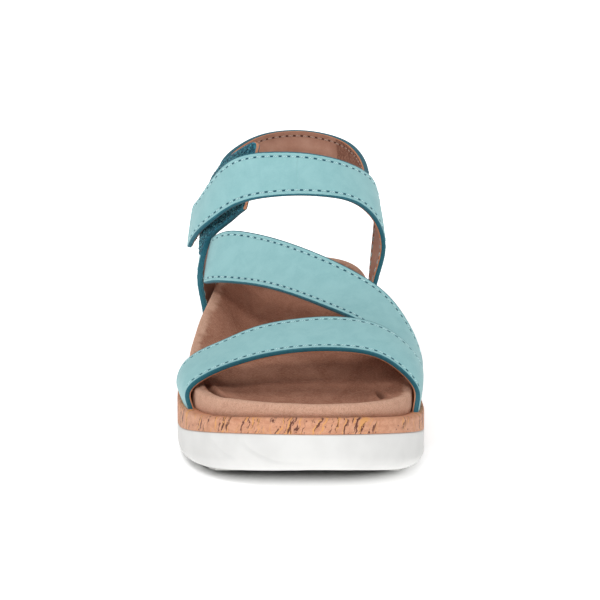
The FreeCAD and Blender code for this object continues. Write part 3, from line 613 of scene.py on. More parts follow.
def cork():
    """Cork veneer: a pinkish-tan ground, brown and golden slanted veins in clusters, specks."""
    paint = Paint("cork_veneer", Roughness=0.62, Specular_IOR_Level=0.4)
    round_way = paint.attribute("round")
    up = paint.attribute("up")
    wander = paint.times(paint.noise(0.22, 3), 5.0)
    slant = paint.maths("ADD", paint.maths("ADD", round_way, wander), paint.times(up, -0.42))
    veins_at = paint.vector(slant, paint.times(up, 0.16), 0.0)
    ground = paint.noise(0.35, 5, 0.65, place=paint.stretched(1, 1, 1.6))
    grain = paint.noise(2.2, 4, 0.7)
    colour = paint.mix(paint.fade(ground, 0.3, 0.7), CORK_DEEP, CORK_PALE)
    colour = paint.mix(paint.fade(grain, 0.4, 0.75, 0.0, 0.4), colour, CORK_GRAIN)
    cluster = paint.noise(0.12, 2, 0.5, place=paint.vector(round_way, paint.times(up, 0.3), 3.0))
    dark_veins = paint.noise(0.8, 3, 0.6, place=veins_at)
    gold_veins = paint.noise(0.72, 2, 0.6, place=paint.vector(slant, paint.times(up, 0.12), 40.0))
    broken = paint.fade(paint.noise(0.5, 2, place=paint.stretched(1, 1, 2.2)), 0.3, 0.45)
    gold = paint.times(paint.fade(gold_veins, 0.56, 0.6), paint.fade(cluster, 0.42, 0.52, 0.0, 0.8))
    dark = paint.times(paint.fade(dark_veins, 0.545, 0.585), paint.fade(cluster, 0.44, 0.52, 0.0, 0.95))
    dark = paint.times(dark, broken)
    speck_shapes = paint.fade(paint.cells(0.42), 0.1, 0.2, 1.0, 0.0)
    specks = paint.times(speck_shapes, paint.fade(paint.noise(0.3, 1), 0.45, 0.6))
    hair_lines = paint.noise(2.6, 2, 0.5, place=paint.vector(slant, paint.times(up, 0.25), 9.0))
    colour = paint.mix(paint.fade(hair_lines, 0.6, 0.78, 0.0, 0.4), colour, CORK_HAIR)
    colour = paint.mix(gold, colour, CORK_GOLD)
    colour = paint.mix(dark, colour, CORK_VEIN)
    colour = paint.mix(paint.times(specks, 0.8), colour, CORK_SPECK)
    height = paint.maths("SUBTRACT", grain, paint.times(dark, 0.8))
    return paint.finish(colour, paint.fade(grain, 0.2, 0.8, 0.5, 0.75), paint.bump(height, 0.12, 0.6))


def white_foam(name, pale, deep, rough):
    """Moulded white foam or rubber: a faint cloudiness, an even fine texture, dust in the pores."""
    paint = Paint(name, Specular_IOR_Level=0.35)
    cloud = paint.noise(0.05, 3, 0.6)
    texture = paint.noise(3.0, 4, 0.6)
    pores = paint.cells(1.9)
    colour = paint.mix(paint.fade(cloud, 0.3, 0.7), deep, pale)
    colour = paint.mix(paint.fade(pores, 0.0, 0.16, 0.22, 0.0), colour, WHITE_DUST)
    shine = paint.fade(texture, 0.3, 0.7, rough, rough + 0.14)
    return paint.finish(colour, shine, paint.bump(texture, 0.035, 0.5))


def pile(name, pale, deep):
    """Nylon pile of a hook-and-loop tape, with a dull shine along each fibre and a painted highlight on the
    fibre tops.
    """
    paint = Paint(name, Roughness=0.55, Sheen_Weight=0.4, Sheen_Roughness=0.4)
    tufts = paint.noise(1.1, 4, 0.7)
    fibres = paint.noise(5.0, 3)
    colour = paint.mix(paint.fade(tufts, 0.4, 0.6), deep, pale)
    # Painted highlight on the tops of the fibres.
    tip_highlight = paint.times(paint.fade(paint.attribute("tip"), 0.5, 1.0), paint.fade(tufts, 0.42, 0.58))
    colour = paint.mix(paint.times(tip_highlight, 0.8), colour, PILE_TIP_HIGHLIGHT)
    return paint.finish(colour, None, paint.bump(fibres, 0.08, 0.7))


def hidden_solid(name, pale, deep, scale, rough, metal=0.0):
    """A plain inner material, such as foam, board or strip steel, for the solids inside."""
    paint = Paint(name, cad=True, Metallic=metal)
    grain = paint.noise(scale, 5, 0.6, place=paint.stretched(1.0, 0.35, 1.0) if metal else None)
    cells = paint.cells(scale * 1.6)
    colour = paint.mix(paint.fade(grain, 0.3, 0.7), deep, pale)
    shine = paint.fade(grain, 0.3, 0.7, rough, rough + 0.15)
    return paint.finish(colour, shine, paint.bump(cells, 0.1, 0.5))


NUBUCK_PALE = srgb(151, 199, 202)
NUBUCK_DEEP = srgb(140, 190, 194)
NUBUCK_NAP = srgb(163, 208, 209)
NUBUCK_PORE = srgb(122, 174, 182)
# Painted shade for the nubuck's stitch groove.
NUBUCK_SEAM_SHADE = srgb(98, 156, 166)
# Painted shade in the nubuck's needle holes.
NEEDLE_HOLE_SHADE = srgb(38, 88, 104)
EDGE_DARK = srgb(20, 84, 102)
EDGE_LIGHT = srgb(46, 118, 132)
LINING_PALE = srgb(194, 148, 127)
LINING_DEEP = srgb(178, 129, 108)
LINING_PORE = srgb(128, 88, 70)
LINING_RAW = srgb(120, 78, 60)
# Painted shade in the lining's needle holes.
LINING_HOLE_SHADE = srgb(84, 52, 40)
CUT_EDGE = srgb(226, 158, 118)
CUT_EDGE_DEEP = srgb(196, 124, 88)
SUEDE_DEEP = srgb(152, 102, 81)
SUEDE_MID = srgb(174, 124, 102)
SUEDE_PALE = srgb(200, 152, 128)
SUEDE_DARK_FIBRE = srgb(100, 62, 46)
# Painted highlight for the footbed's lip and side wall.
SUEDE_LIP_HIGHLIGHT = srgb(226, 184, 160)
SUEDE_SHADE = srgb(104, 68, 52)
CORK_PALE = srgb(214, 157, 126)
CORK_DEEP = srgb(194, 132, 100)
CORK_GRAIN = srgb(230, 184, 150)
CORK_HAIR = srgb(168, 108, 78)
CORK_GOLD = srgb(222, 160, 92)
CORK_VEIN = srgb(92, 48, 38)
CORK_SPECK = srgb(120, 62, 46)
WHITE_PALE = srgb(229, 229, 227)
WHITE_DEEP = srgb(221, 221, 219)
WHITE_DUST = srgb(214, 213, 210)
# Painted highlight for the tops of the pile fibres.
PILE_TIP_HIGHLIGHT = srgb(120, 208, 218)

NUBUCK = nubuck()
LINING_SKIN = lining_leather("lining_tan", LINING_PALE, LINING_DEEP, (CUT_EDGE_DEEP, CUT_EDGE))
LINING_PAINTED = lining_leather("lining_painted", LINING_PALE, LINING_DEEP, (EDGE_DARK, EDGE_LIGHT))
# Each thread's second colour is painted shade for its twist groove, and also tints its fuzz.
THREAD_TEAL = thread("thread_teal", srgb(198, 232, 232), srgb(112, 170, 180))
THREAD_TAN = thread("thread_tan", srgb(214, 184, 166), srgb(140, 104, 86))
SUEDE = suede()
CORK = cork()
FOAM_WHITE = white_foam("foam_white", WHITE_PALE, WHITE_DEEP, 0.5)
RUBBER_WHITE = white_foam("rubber_white", srgb(236, 236, 233), srgb(226, 226, 222), 0.42)
LOOP_PILE = pile("loop_pile", srgb(44, 130, 150), srgb(12, 64, 84))
HOOK_PILE = pile("hook_pile", srgb(30, 88, 104), srgb(16, 58, 74))
CORE_FOAM = hidden_solid("core_foam", srgb(206, 190, 168), srgb(182, 164, 140), 0.8, 0.85)
BOARD = hidden_solid("board_fibre", srgb(172, 142, 108), srgb(138, 108, 78), 1.4, 0.8)
STEEL = hidden_solid("steel_strip", srgb(190, 190, 192), srgb(150, 150, 154), 2.5, 0.3, 1.0)


# ---------------------------------------------------------------- the sole

def wall_rings(profile, close_at=()):
    """Points of a shell swept round the sole, as rings of (inset, height function of its points).

    The last ring runs in to the sole's middle line at the shares in close_at, at the last height."""
    rings = []
    for inset, height in profile:
        ring = outline(inset)
        rings.append(np.column_stack([ring, height(ring)]))
    spine = spine_for(ring, *SOLE_SPINE)
    for share in close_at:
        inner = ring * (1 - share) + spine * share
        rings.append(np.column_stack([inner, height(inner)]))
    return np.array(rings)


def on_white_top(ring):
    return height_on(WHITE_TOP, ring[:, 1])


def on_cork_top(ring):
    return height_on(CORK_TOP, ring[:, 1])


def on_base(ring):
    return height_on(GROUND_LINE, ring[:, 1]) + OUTSOLE_THICKNESS


def between(low, high, share, lift=0.0):
    """A height function that runs from low's height to high's, at a share of the way."""
    return lambda ring: low(ring) * (1 - share) + high(ring) * share + lift


def make_midsole():
    """The white unit: a soft top edge, an upright wall, a large rounding below, a plain base."""
    shoulder = TOP_EDGE[-1][1]
    profile = [(inset, between(on_white_top, on_base, 0.0, -drop)) for inset, drop in TOP_EDGE]
    for share in np.linspace(0.12, 0.96, 22):
        lift = SOLE_EDGE_RADIUS * share - shoulder * (1 - share)
        profile.append((0.0, between(on_white_top, on_base, share, lift)))
    for angle in np.linspace(0, math.pi / 2, 14):
        inset = SOLE_EDGE_RADIUS * (1 - math.cos(angle))
        profile.append((inset, between(on_base, on_base, 0.0, SOLE_EDGE_RADIUS * (1 - math.sin(angle)))))
    rings = sculpt_wall(wall_rings(profile, [0.06, 0.15, 0.35, 0.6, 0.85, 1.0]))
    shape = Shape()
    rows, columns = rings.shape[:2]
    shape.add(rings, grid_faces(rows, columns, close_columns=True))
    first_ring = outline(TOP_EDGE[0][0])
    for share in (0.4, 1.0):
        ring = first_ring * (1 - share) + spine_for(first_ring, *SOLE_SPINE) * share
        shape.add(np.column_stack([ring, on_white_top(ring) - TOP_EDGE[0][1]]), np.zeros((0, 4), int))
    around = np.arange(columns)
    after = (around + 1) % columns
    for near, far in ((0, rows * columns), (rows * columns, (rows + 1) * columns)):
        shape.polygons(np.stack([near + around, far + around, far + after, near + after], 1))
    return shape.make("midsole_foam", FOAM_WHITE, slot="white_foam", replaces=["midsole"])


def crease_push(x, z, line, height, behind, ahead):
    """How far a moulded step stands out: full on its lower left side, nothing on the other."""
    samples = 160
    knots = chord_knots(line)
    points = Spline(knots, line)(np.linspace(0, knots[-1], samples))
    steps = np.gradient(points, axis=0)
    steps /= np.linalg.norm(steps, axis=1)[:, None]
    gap = np.stack([x, z], -1)[..., None, :] - points
    nearest = (gap ** 2).sum(-1).argmin(-1)
    gap = np.take_along_axis(gap, nearest[..., None, None], -2)[..., 0, :]
    along = steps[nearest]
    side = gap[..., 0] * along[..., 1] - gap[..., 1] * along[..., 0]
    ends = smooth_step(np.minimum(nearest, samples - 1 - nearest) / 30)
    stands = np.where(side < 0, smooth_step(1 + side / ahead), 1.0)
    fades = np.where(side > 0, smooth_step(1 - side / behind), 1.0)
    return height * ends * stands * fades


def sculpt_wall(rings):
    """The moulded steps on the toe's little-toe side, and a slightly uneven hand to the wall."""
    x, y, z = rings[..., 0], rings[..., 1], rings[..., 2]
    front = smooth_step((-y - 95) / 18)
    push = sum(crease_push(x, z, *crease) for crease in CREASES) * front
    wave = 0.06 * np.sin(x * 0.21 + y * 0.13) * np.sin(y * 0.17 + z * 0.3)
    outwards = np.stack([0.85 * x, y, np.zeros_like(z)], -1)
    outwards /= np.linalg.norm(outwards, axis=-1)[..., None] + 1e-9
    # From the shoulder of the top edge to the bottom's first ring.
    first, last = len(TOP_EDGE) - 1, len(TOP_EDGE) + 37
    wall = np.zeros_like(push)
    wall[first:last] = 1.0
    return rings + outwards * ((push + wave) * wall)[..., None]


def make_tread(name, node, reach, first_groove):
    """A rubber pad with wavy cross lugs. The pad's plate carries the lugs down to the ground."""
    shape = Shape()
    edge = outline(OUTSOLE_INSET, 900)
    edge = edge[(edge[:, 1] > reach[0]) & (edge[:, 1] < reach[1])]
    left, right = edge[edge[:, 0] < 0], edge[edge[:, 0] > 0]
    left, right = left[np.argsort(left[:, 1])], right[np.argsort(right[:, 1])]

    def across(y, inset, share):
        """X at these shares of the way over the pad, an inset away from its sides."""
        low, high = [np.interp(y, side[:, 1], side[:, 0]) for side in (left, right)]
        return low + inset + (high - low - 2 * inset) * share

    def lug(front, back):
        """A closed bar across the pad between two wavy lines, with its edges eased."""
        ease = 0.3
        profile = [(front, GROOVE_DEPTH + 0.3), (front, ease), (front + ease, 0.0)]
        profile.append(((front + back) / 2 - 0.4, 0.0))
        profile += [(front + back - y, level) for y, level in profile[::-1]]
        columns = 72
        share = np.linspace(0, 1, columns)
        rows = []
        for y0, level in profile:
            x = across(np.clip(y0, reach[0] + 0.5, reach[1] - 0.5), LUG_INSET, share)
            y = y0 + LUG_WAVE * np.sin(x * 2 * math.pi / LUG_WAVE_LENGTH)
            y = np.clip(y, reach[0] + 0.2, reach[1] - 0.2)
            rows.append(np.column_stack([across(y, LUG_INSET, share), y, height_on(GROUND_LINE, y) + level]))
        start = shape.count
        last = start + (len(rows) - 1) * columns
        shape.add(np.array(rows), grid_faces(len(rows), columns, flip=True))
        ring = list(range(start, last + 1, columns))
        shape.polygons([ring, [corner + columns - 1 for corner in ring[::-1]]])
        shape.polygons([[start + k, start + k + 1, last + k + 1, last + k] for k in range(columns - 1)])

    def plate():
        """The thin sheet that carries the lugs, with rounded corners at both of its ends."""
        y = np.linspace(*reach, 110)[:, None]
        from_end = np.minimum(np.minimum(y - reach[0], reach[1] - y), PLATE_CORNER)
        narrow = PLATE_CORNER - np.sqrt(PLATE_CORNER ** 2 - (PLATE_CORNER - from_end) ** 2)
        columns = 24
        x = across(y, narrow, np.linspace(0, 1, columns))
        y = np.broadcast_to(y, x.shape)
        ground = height_on(GROUND_LINE, y)
        below = np.stack([x, y, ground + GROOVE_DEPTH], -1)
        above = np.stack([x, y, ground + OUTSOLE_THICKNESS + 0.2], -1)[:, ::-1]
        rows = np.concatenate([below, above], 1)
        start = shape.count
        shape.add(rows, grid_faces(*rows.shape[:2], close_columns=True, flip=True))
        for row in (0, len(rows) - 1):
            corners = start + row * rows.shape[1] + np.arange(rows.shape[1])
            quads = [[corners[k], corners[k + 1], corners[-k - 2], corners[-k - 1]]
                     for k in range(columns - 1)]
            shape.polygons(quads if row == 0 else [quad[::-1] for quad in quads])

    plate()
    count = int((reach[1] - reach[0]) / GROOVE_PITCH) + 2
    first = first_groove - GROOVE_PITCH * math.floor((first_groove - reach[0]) / GROOVE_PITCH)
    grooves = [first + GROOVE_PITCH * k for k in range(-1, count)]
    for groove, following in zip(grooves[:-1], grooves[1:]):
        front = max(groove + GROOVE_WIDTH / 2, reach[0] + 1.6)
        back = min(following - GROOVE_WIDTH / 2, reach[1] - 1.6)
        if back - front > 1.5:
            lug(front, back)
    return shape.make(name, RUBBER_WHITE, slot="white_rubber", replaces=[node])


def make_cork():
    """The cork band: a flat veneer with a rounded top edge and a ledge under the footbed."""
    radius = CORK_THICKNESS
    foot = between(on_white_top, on_white_top, 0.0, 0.02)
    ledge = between(on_cork_top, on_cork_top, 0.0, 0.2)
    profile = [(3.0, foot), (0.1, foot)]
    for share in np.linspace(0, 1, 20):
        lift = 0.1 * (1 - share) - radius * share
        profile.append((0.02, between(on_white_top, on_cork_top, share, lift)))
    for angle in np.linspace(0.2, math.pi / 2, 8):
        lift = 1.45 * math.sin(angle) - radius
        profile.append((radius * (1 - math.cos(angle)), between(on_cork_top, on_cork_top, 0.0, lift)))
    profile += [(2.5, ledge), (FOOTBED_INSET + 1.2, ledge), (FOOTBED_INSET + 1.2, foot)]
    rings = wall_rings(profile)
    around = chord_knots(np.vstack([rings[5, :, :2], rings[5, :1, :2]]))[:-1]
    face = slice(2, 22)
    rings[face, :, 0] += 0.05 * np.sin(around * 0.31) * np.sin(around * 0.071) * np.sign(rings[face, :, 0])
    shape = Shape()
    rows, columns = rings.shape[:2]
    up = rings[..., 2] - height_on(WHITE_TOP, rings[..., 1])
    faces = grid_faces(rows, columns, True, True, flip=True)
    shape.add(rings, faces, round=np.tile(around, rows), up=up.ravel())
    return shape.make("cork_band", CORK, slot="cork", replaces=["cork_wrap"])


# ---------------------------------------------------------------- the footbed

def wrinkle_depth(points):
    """How deep the wrinkles are at each point, less the low folds that stand beside them."""
    samples = 60
    total = np.zeros(points.shape[:-1])
    for line, depth, width in WRINKLES:
        line = np.array(line, float)
        knots = chord_knots(line)
        places = np.linspace(0, knots[-1], samples)
        path = np.stack([np.interp(places, knots, column) for column in line.T], -1)
        gap = np.linalg.norm(points[..., None, :] - path, axis=-1)
        nearest = gap.argmin(-1)
        ends = smooth_step(np.minimum(nearest + 6, samples + 5 - nearest) / 22)
        near = gap.min(-1)
        valley = np.exp(-(near / width) ** 2)
        shoulders = np.exp(-((near - 2.1 * width) / width) ** 2)
        total += depth * ends * (valley - 0.45 * shoulders)
    return total


def rim_height(points):
    """The footbed's edge stands higher on the little-toe side of the waist, where the quarter rises."""
    lateral, medial = height_on(LATERAL_RIM_LINE, points[..., 1]), height_on(RIM_LINE, points[..., 1])
    return lateral + (medial - lateral) * smooth_step((points[..., 0] + RIM_CHANGE) / (2 * RIM_CHANGE))


def bed_height(points):
    """The footbed's top, flat in the middle and turned up to the rim, and the distance from the rim."""
    edge = outline(FOOTBED_INSET, 900)
    inside = np.array([np.linalg.norm(row[:, None] - edge, axis=-1).min(-1) for row in points])
    rim = rim_height(points)
    bed = height_on(BED_LINE, points[..., 1])
    return rim + (bed - rim) * smooth_step(inside / RIM_BLEND), inside


def make_footbed():
    """The suede footbed: a soft side wall, a rounded lip, the dish, wrinkles and toe dents."""
    columns = 760
    ring = outline(FOOTBED_INSET, columns)
    under = outline(FOOTBED_INSET + 3, columns)
    base = on_cork_top(ring) - 0.4
    rim = rim_height(ring)
    side = [np.column_stack([under, base])]
    for share in np.linspace(0, 1, 9):
        bulge = 0.35 * math.sin(share * math.pi) - 0.25 * (1 - share)
        level = base * (1 - share) + (rim - FOOTBED_LIP) * share
        side.append(np.column_stack([outline(FOOTBED_INSET - bulge, columns), level]))
    for angle in np.linspace(0.2, 1.35, 7):
        inset = FOOTBED_LIP * (1 - math.cos(angle)) * 1.1
        level = rim - FOOTBED_LIP + FOOTBED_LIP * math.sin(angle) - 0.1 * inset
        side.append(np.column_stack([outline(FOOTBED_INSET + inset, columns), level]))
    spine = spine_for(ring, *BED_SPINE)
    shares = np.concatenate([np.linspace(0.065, 0.42, 46), np.linspace(0.44, 1.0, 24)])
    flat = np.array([ring * (1 - share) + spine * share for share in shares])
    level, inside = bed_height(flat)
    x, y = flat[..., 0], flat[..., 1]
    dents = sum(deep * np.exp(-((x - cx) / rx) ** 2 - ((y - cy) / ry) ** 2) for cx, cy, rx, ry, deep in DENTS)
    wrinkles = wrinkle_depth(flat)
    level = level - dents - wrinkles * smooth_step((inside - 1.0) / 4)
    level += 0.09 * np.sin(x * 0.35 + 0.6 * np.sin(y * 0.21)) * np.sin(y * 0.27)
    rings = np.concatenate([np.array(side), np.concatenate([flat, level[..., None]], -1)])
    above_side = ((len(side), 0), (0, 0))
    # Where the suede takes its painted highlight: all of the side wall, and the lip, fading out inwards from
    # the rim.
    lip = np.pad(1 - smooth_step((inside - 1.5) / 4.5), above_side, constant_values=1.0)
    # Painted shade: strong in the wrinkles, faint in the dents away from the rim.
    worn = np.clip(dents * 0.15, 0, 1) * smooth_step((inside - 6) / 8) + 1.1 * np.clip(wrinkles, 0, 1)
    shape = Shape()
    faces = grid_faces(len(rings), columns, close_columns=True, flip=True)
    shape.add(rings, faces, lip=lip.ravel(), worn=np.pad(worn, above_side).ravel())
    start = shape.count
    under_spine = spine_for(under, *BED_SPINE)
    shape.add(np.column_stack([under_spine, on_cork_top(under_spine) - 0.4]), np.zeros((0, 4), int))
    around = np.arange(columns)
    after = (around + 1) % columns
    shape.polygons(np.stack([around, after, start + after, start + around], 1)[:, ::-1])
    piece = shape.make("footbed_cushion", SUEDE, slot="suede", replaces=["footbed_cover", "footbed_foam"])
    return piece


# ---------------------------------------------------------------- straps

class Ribbon:
    """A curved strap surface on three rails: front, middle and rear edge lines."""

    def __init__(self, stations):
        middles = np.array([station[1] for station in stations], float)
        knots = chord_knots(middles)
        self.length = knots[-1]
        rails = np.array(stations, float)
        self.rails = [Spline(knots / self.length, rails[:, k]) for k in range(3)]

    def outside(self, u, v):
        front, middle, rear = [rail(u) for rail in self.rails]
        v = np.asarray(v, float)[..., None]
        return front * ((1 - v) * (1 - 2 * v)) + middle * (4 * v * (1 - v)) + rear * (v * (2 * v - 1))

    def normal(self, u, v):
        step = 0.004
        along = self.outside(np.minimum(u + step, 1), v) - self.outside(np.maximum(u - step, 0), v)
        across = self.outside(u, np.minimum(v + 0.05, 1)) - self.outside(u, np.maximum(v - 0.05, 0))
        normal = np.cross(along, across)
        return normal / np.linalg.norm(normal, axis=-1)[..., None]

    def point(self, u, v, depth):
        return self.outside(u, v) - self.normal(u, v) * np.asarray(depth, float)[..., None]

    def width(self, u):
        return np.linalg.norm(self.outside(u, 1.0) - self.outside(u, 0.0), axis=-1)


def free_stations(stations):
    """Stations between the tails, their middle point pushed out by the bulge."""
    result = []
    last = len(stations) - 1
    for index, (front, rear, bulge) in enumerate(stations):
        front, rear = np.array(front, float), np.array(rear, float)
        before, after = stations[max(0, index - 1)], stations[min(last, index + 1)]
        run = np.array(after[0], float) + after[1] - np.array(before[0], float) - before[1]
        outwards = np.cross(run, rear - front)
        outwards /= np.linalg.norm(outwards)
        result.append([front, (front + rear) / 2 + outwards * bulge, rear])
    return result


def tail_stations(name, going_up):
    """The two stations of a strap tail, in its slot and at the top of the cork."""
    side, front, rear = TAILS[name]
    places = (front, (front + rear) / 2, rear)
    low = [side_point(side, y, TAIL_INSET, height_on(WHITE_TOP, y) + TAIL_LIFT) for y in places]
    high = [side_point(side, y, TAIL_INSET, height_on(CORK_TOP, y) - TAIL_EXIT_DROP) for y in places]
    return [low, high] if going_up else [high, low]


def spread(ribbon, u_range, free, step):
    """Places along a strap, a step apart, and closer together towards its free ends."""
    low, high = u_range
    count = max(8, int(ribbon.length * (high - low) / step))
    places = list(np.linspace(low, high, count + 1))
    near = np.array([0.12, 0.3, 0.55, 0.9, 1.3, 1.9, 2.6]) / ribbon.length
    if free[0]:
        places += list(low + near)
    if free[1]:
        places += list(high - near)
    return np.unique(np.round(places, 7))


def rounding(ribbon, u, u_range, free, radius):
    """How far a strap's edges come in near its free ends, so that the corners there are round."""
    inset = np.zeros((len(u), 2))
    for k in range(2):
        if free[k]:
            short = np.maximum(radius - np.abs(u - u_range[k]) * ribbon.length, 0)
            inset[:, k] = radius - np.sqrt(np.maximum(radius ** 2 - short ** 2, 0))
    return inset.max(1)


def cells_across(width, corner, inset):
    """Distances from a strap's front edge of its lengthwise rows of points, dense along both seams."""
    front = corner + inset[:, None] + SEAM_CELLS
    rear = width[:, None] - corner - inset[:, None] - SEAM_CELLS[::-1]
    share = np.linspace(0, 1, MIDDLE_CELLS + 2)[1:-1]
    middle = front[:, -1:] + (rear[:, :1] - front[:, -1:]) * share
    across = np.concatenate([front, middle, rear], 1)
    squeeze = np.minimum(1.0, (width - 2 * corner - 2 * inset) / 7.0)[:, None]
    centre = width[:, None] / 2
    return centre + (across - centre) * squeeze


def sewing_at(ribbon, u, across, sewn):
    """How far a strap is sewn at each point, 0 to 1, and how many stitches lie before it."""
    sewing = np.zeros_like(across)
    if sewn is not None:
        along = (u * ribbon.length)[:, None]
        start, end = np.array(sewn) * ribbon.length
        sewing += smooth_step((along - start) / 1.5) * smooth_step((end - along) / 1.5)
    front, rear = [stitch_counts(ribbon, u, sewn, from_front)[:, None] for from_front in (True, False)]
    return sewing, np.where(across < ribbon.width(u)[:, None] / 2, front, rear)


def strap_skin(shape, ribbon, u_range, outer, inner, corner, free=(False, False), sewn=None, round_ends=2.6,
               step=0.5, plain=None, seam_inside=False, margin=0.0, bare=None, painted=0.0):
    """A closed skin between two depths under a ribbon, with eased edges and a sewn groove.

    inner is a depth, or a function of (u, distance across, width) that gives one. plain and bare are
    functions of u, for values that the materials read. painted is the width of the painted rim."""
    u = spread(ribbon, u_range, free, step)
    width = ribbon.width(u)
    across = cells_across(width, corner, rounding(ribbon, u, u_range, free, round_ends) + margin)
    width = width[:, None]
    top_depth = np.full(across.shape, float(outer))
    low_depth = inner(u[:, None], across, width) if callable(inner) else np.full(across.shape, float(inner))
    seam = np.minimum(across, width - across) - STITCH_MARGIN
    sewing, counts = sewing_at(ribbon, u, across, sewn)
    phase = counts % 1.0
    from_hole = np.minimum(phase, 1 - phase) * STITCH_PITCH
    groove = 0.13 * np.exp(-(seam / 0.42) ** 2) + 0.2 * np.exp(-(seam / 0.4) ** 2 - (from_hole / 0.55) ** 2)
    groove = sewing * (groove - 0.05 * np.exp(-((seam - 1.5) / 0.9) ** 2))
    if seam_inside:
        low_depth = low_depth - groove
    else:
        top_depth = top_depth + groove

    # Once round the section: the top, the rear side, the underside and the front side.
    rear_side, front_side = [], []
    for angle in np.linspace(0, math.pi, 9)[1:-1]:
        out = corner * math.sin(angle) ** 0.55
        share = (1 - math.cos(angle)) / 2
        rear_side.append((across[:, -1] + out, top_depth[:, -1] * (1 - share) + low_depth[:, -1] * share))
        front_side.append((across[:, 0] - out, low_depth[:, 0] * (1 - share) + top_depth[:, 0] * share))
    rear_side, front_side = np.array(rear_side).T, np.array(front_side).T
    a = np.concatenate([across, rear_side[:, 0], across[:, ::-1], front_side[:, 0]], 1)
    depth = np.concatenate([top_depth, rear_side[:, 1], low_depth[:, ::-1], front_side[:, 1]], 1)
    n_top, n_side = across.shape[1], rear_side.shape[2]

    edge = np.zeros(a.shape)
    side = np.array([0.75] + [1.0] * (n_side - 1))
    edge[:, n_top:n_top + n_side] = side
    edge[:, 2 * n_top + n_side:] = side[::-1]
    edge[:, [0, n_top - 1]] = 0.72
    edge[:, [1, n_top - 2]] = 0.3
    edge[np.minimum(a, width - a) < painted] = 1.0
    far = np.full(a.shape, 9.0)
    sewn_values, counts_all = np.zeros(a.shape), np.zeros(a.shape)
    face = slice(n_top + n_side, 2 * n_top + n_side) if seam_inside else slice(0, n_top)
    for values, on_face in ((far, seam), (sewn_values, sewing), (counts_all, counts)):
        values[:, face] = on_face[:, ::-1] if seam_inside else on_face
    u_all = np.repeat(u[:, None], a.shape[1], 1)
    v_all = a / width
    points = ribbon.point(u_all, v_all, depth)
    plain_values = np.zeros(a.shape) if plain is None else plain(u_all)
    bare_values = np.zeros(a.shape) if bare is None else bare(u_all)

    # One more ring past each end, drawn in a little. Where two skins meet, each tucks into the other.
    caps = []
    for row, next_row in ((0, 1), (-1, -2)):
        ring = points[row]
        outwards = ring - points[next_row]
        outwards /= np.linalg.norm(outwards, axis=1)[:, None] + 1e-9
        middle_depth = (top_depth[row].mean() + low_depth[row].mean()) / 2
        halfway = ribbon.point(u_all[row], v_all[row], np.full(len(ring), middle_depth))
        caps.append(ring + (halfway - ring) * CAP_PULL * 2 + outwards * CAP_PULL)
    grid = np.concatenate([caps[0][None], points, caps[1][None]])

    def padded(values, at_free_ends=None):
        ends = [values[k] if at_free_ends is None or not free[k] else np.full(values.shape[1], at_free_ends)
                for k in (0, -1)]
        return np.concatenate([ends[0][None], values, ends[1][None]]).ravel()

    start, first_face = shape.count, len(shape.faces)
    rows, count = grid.shape[:2]
    shape.add(grid, grid_faces(rows, count, close_columns=True), edge=padded(edge, 1.0), seam=padded(far),
              sewn=padded(sewn_values), stitch=padded(counts_all), plain=padded(plain_values),
              bare=padded(bare_values))
    for k in range(2):
        row = start + k * (rows - 1) * count
        top = row + np.arange(n_top)
        low = row + n_top + n_side + np.arange(n_top)[::-1]
        faces = [list(quad) for quad in np.stack([top[:-1], top[1:], low[1:], low[:-1]], 1)]
        faces.append(list(range(row + n_top - 1, row + n_top + n_side + 1)))
        faces.append([*range(row + 2 * n_top + n_side - 1, row + count), row])
        shape.polygons([face[::-1] if k == 0 else face for face in faces], flat=not free[k])
        if not free[k]:
            strip = first_face + k * (rows - 2) * count
            shape.flat += range(strip, strip + count)
    return shape


def stitch_counts(ribbon, u, sewn, from_front):
    """How many stitches lie before each place along a seam, as a running number."""
    dense = np.linspace(0, 1, 1600)
    share = STITCH_MARGIN / ribbon.width(dense)
    line = ribbon.outside(dense, share if from_front else 1 - share)
    walked = chord_knots(line)
    start = np.interp(sewn[0] if sewn else 0.0, dense, walked)
    return (np.interp(u, dense, walked) - start) / STITCH_PITCH


def tube(line, side, up, radius, columns):
    """Rings of points round a line. The radius is a number, or one for each point."""
    angles = np.linspace(0, 2 * math.pi, columns, endpoint=False)
    return (line[:, None] + side[:, None] * (np.cos(angles) * radius)[..., None]
            + up[:, None] * (np.sin(angles) * radius)[..., None])


def unit_rows(vectors, least=0.0):
    return vectors / (np.linalg.norm(vectors, axis=1)[:, None] + least)


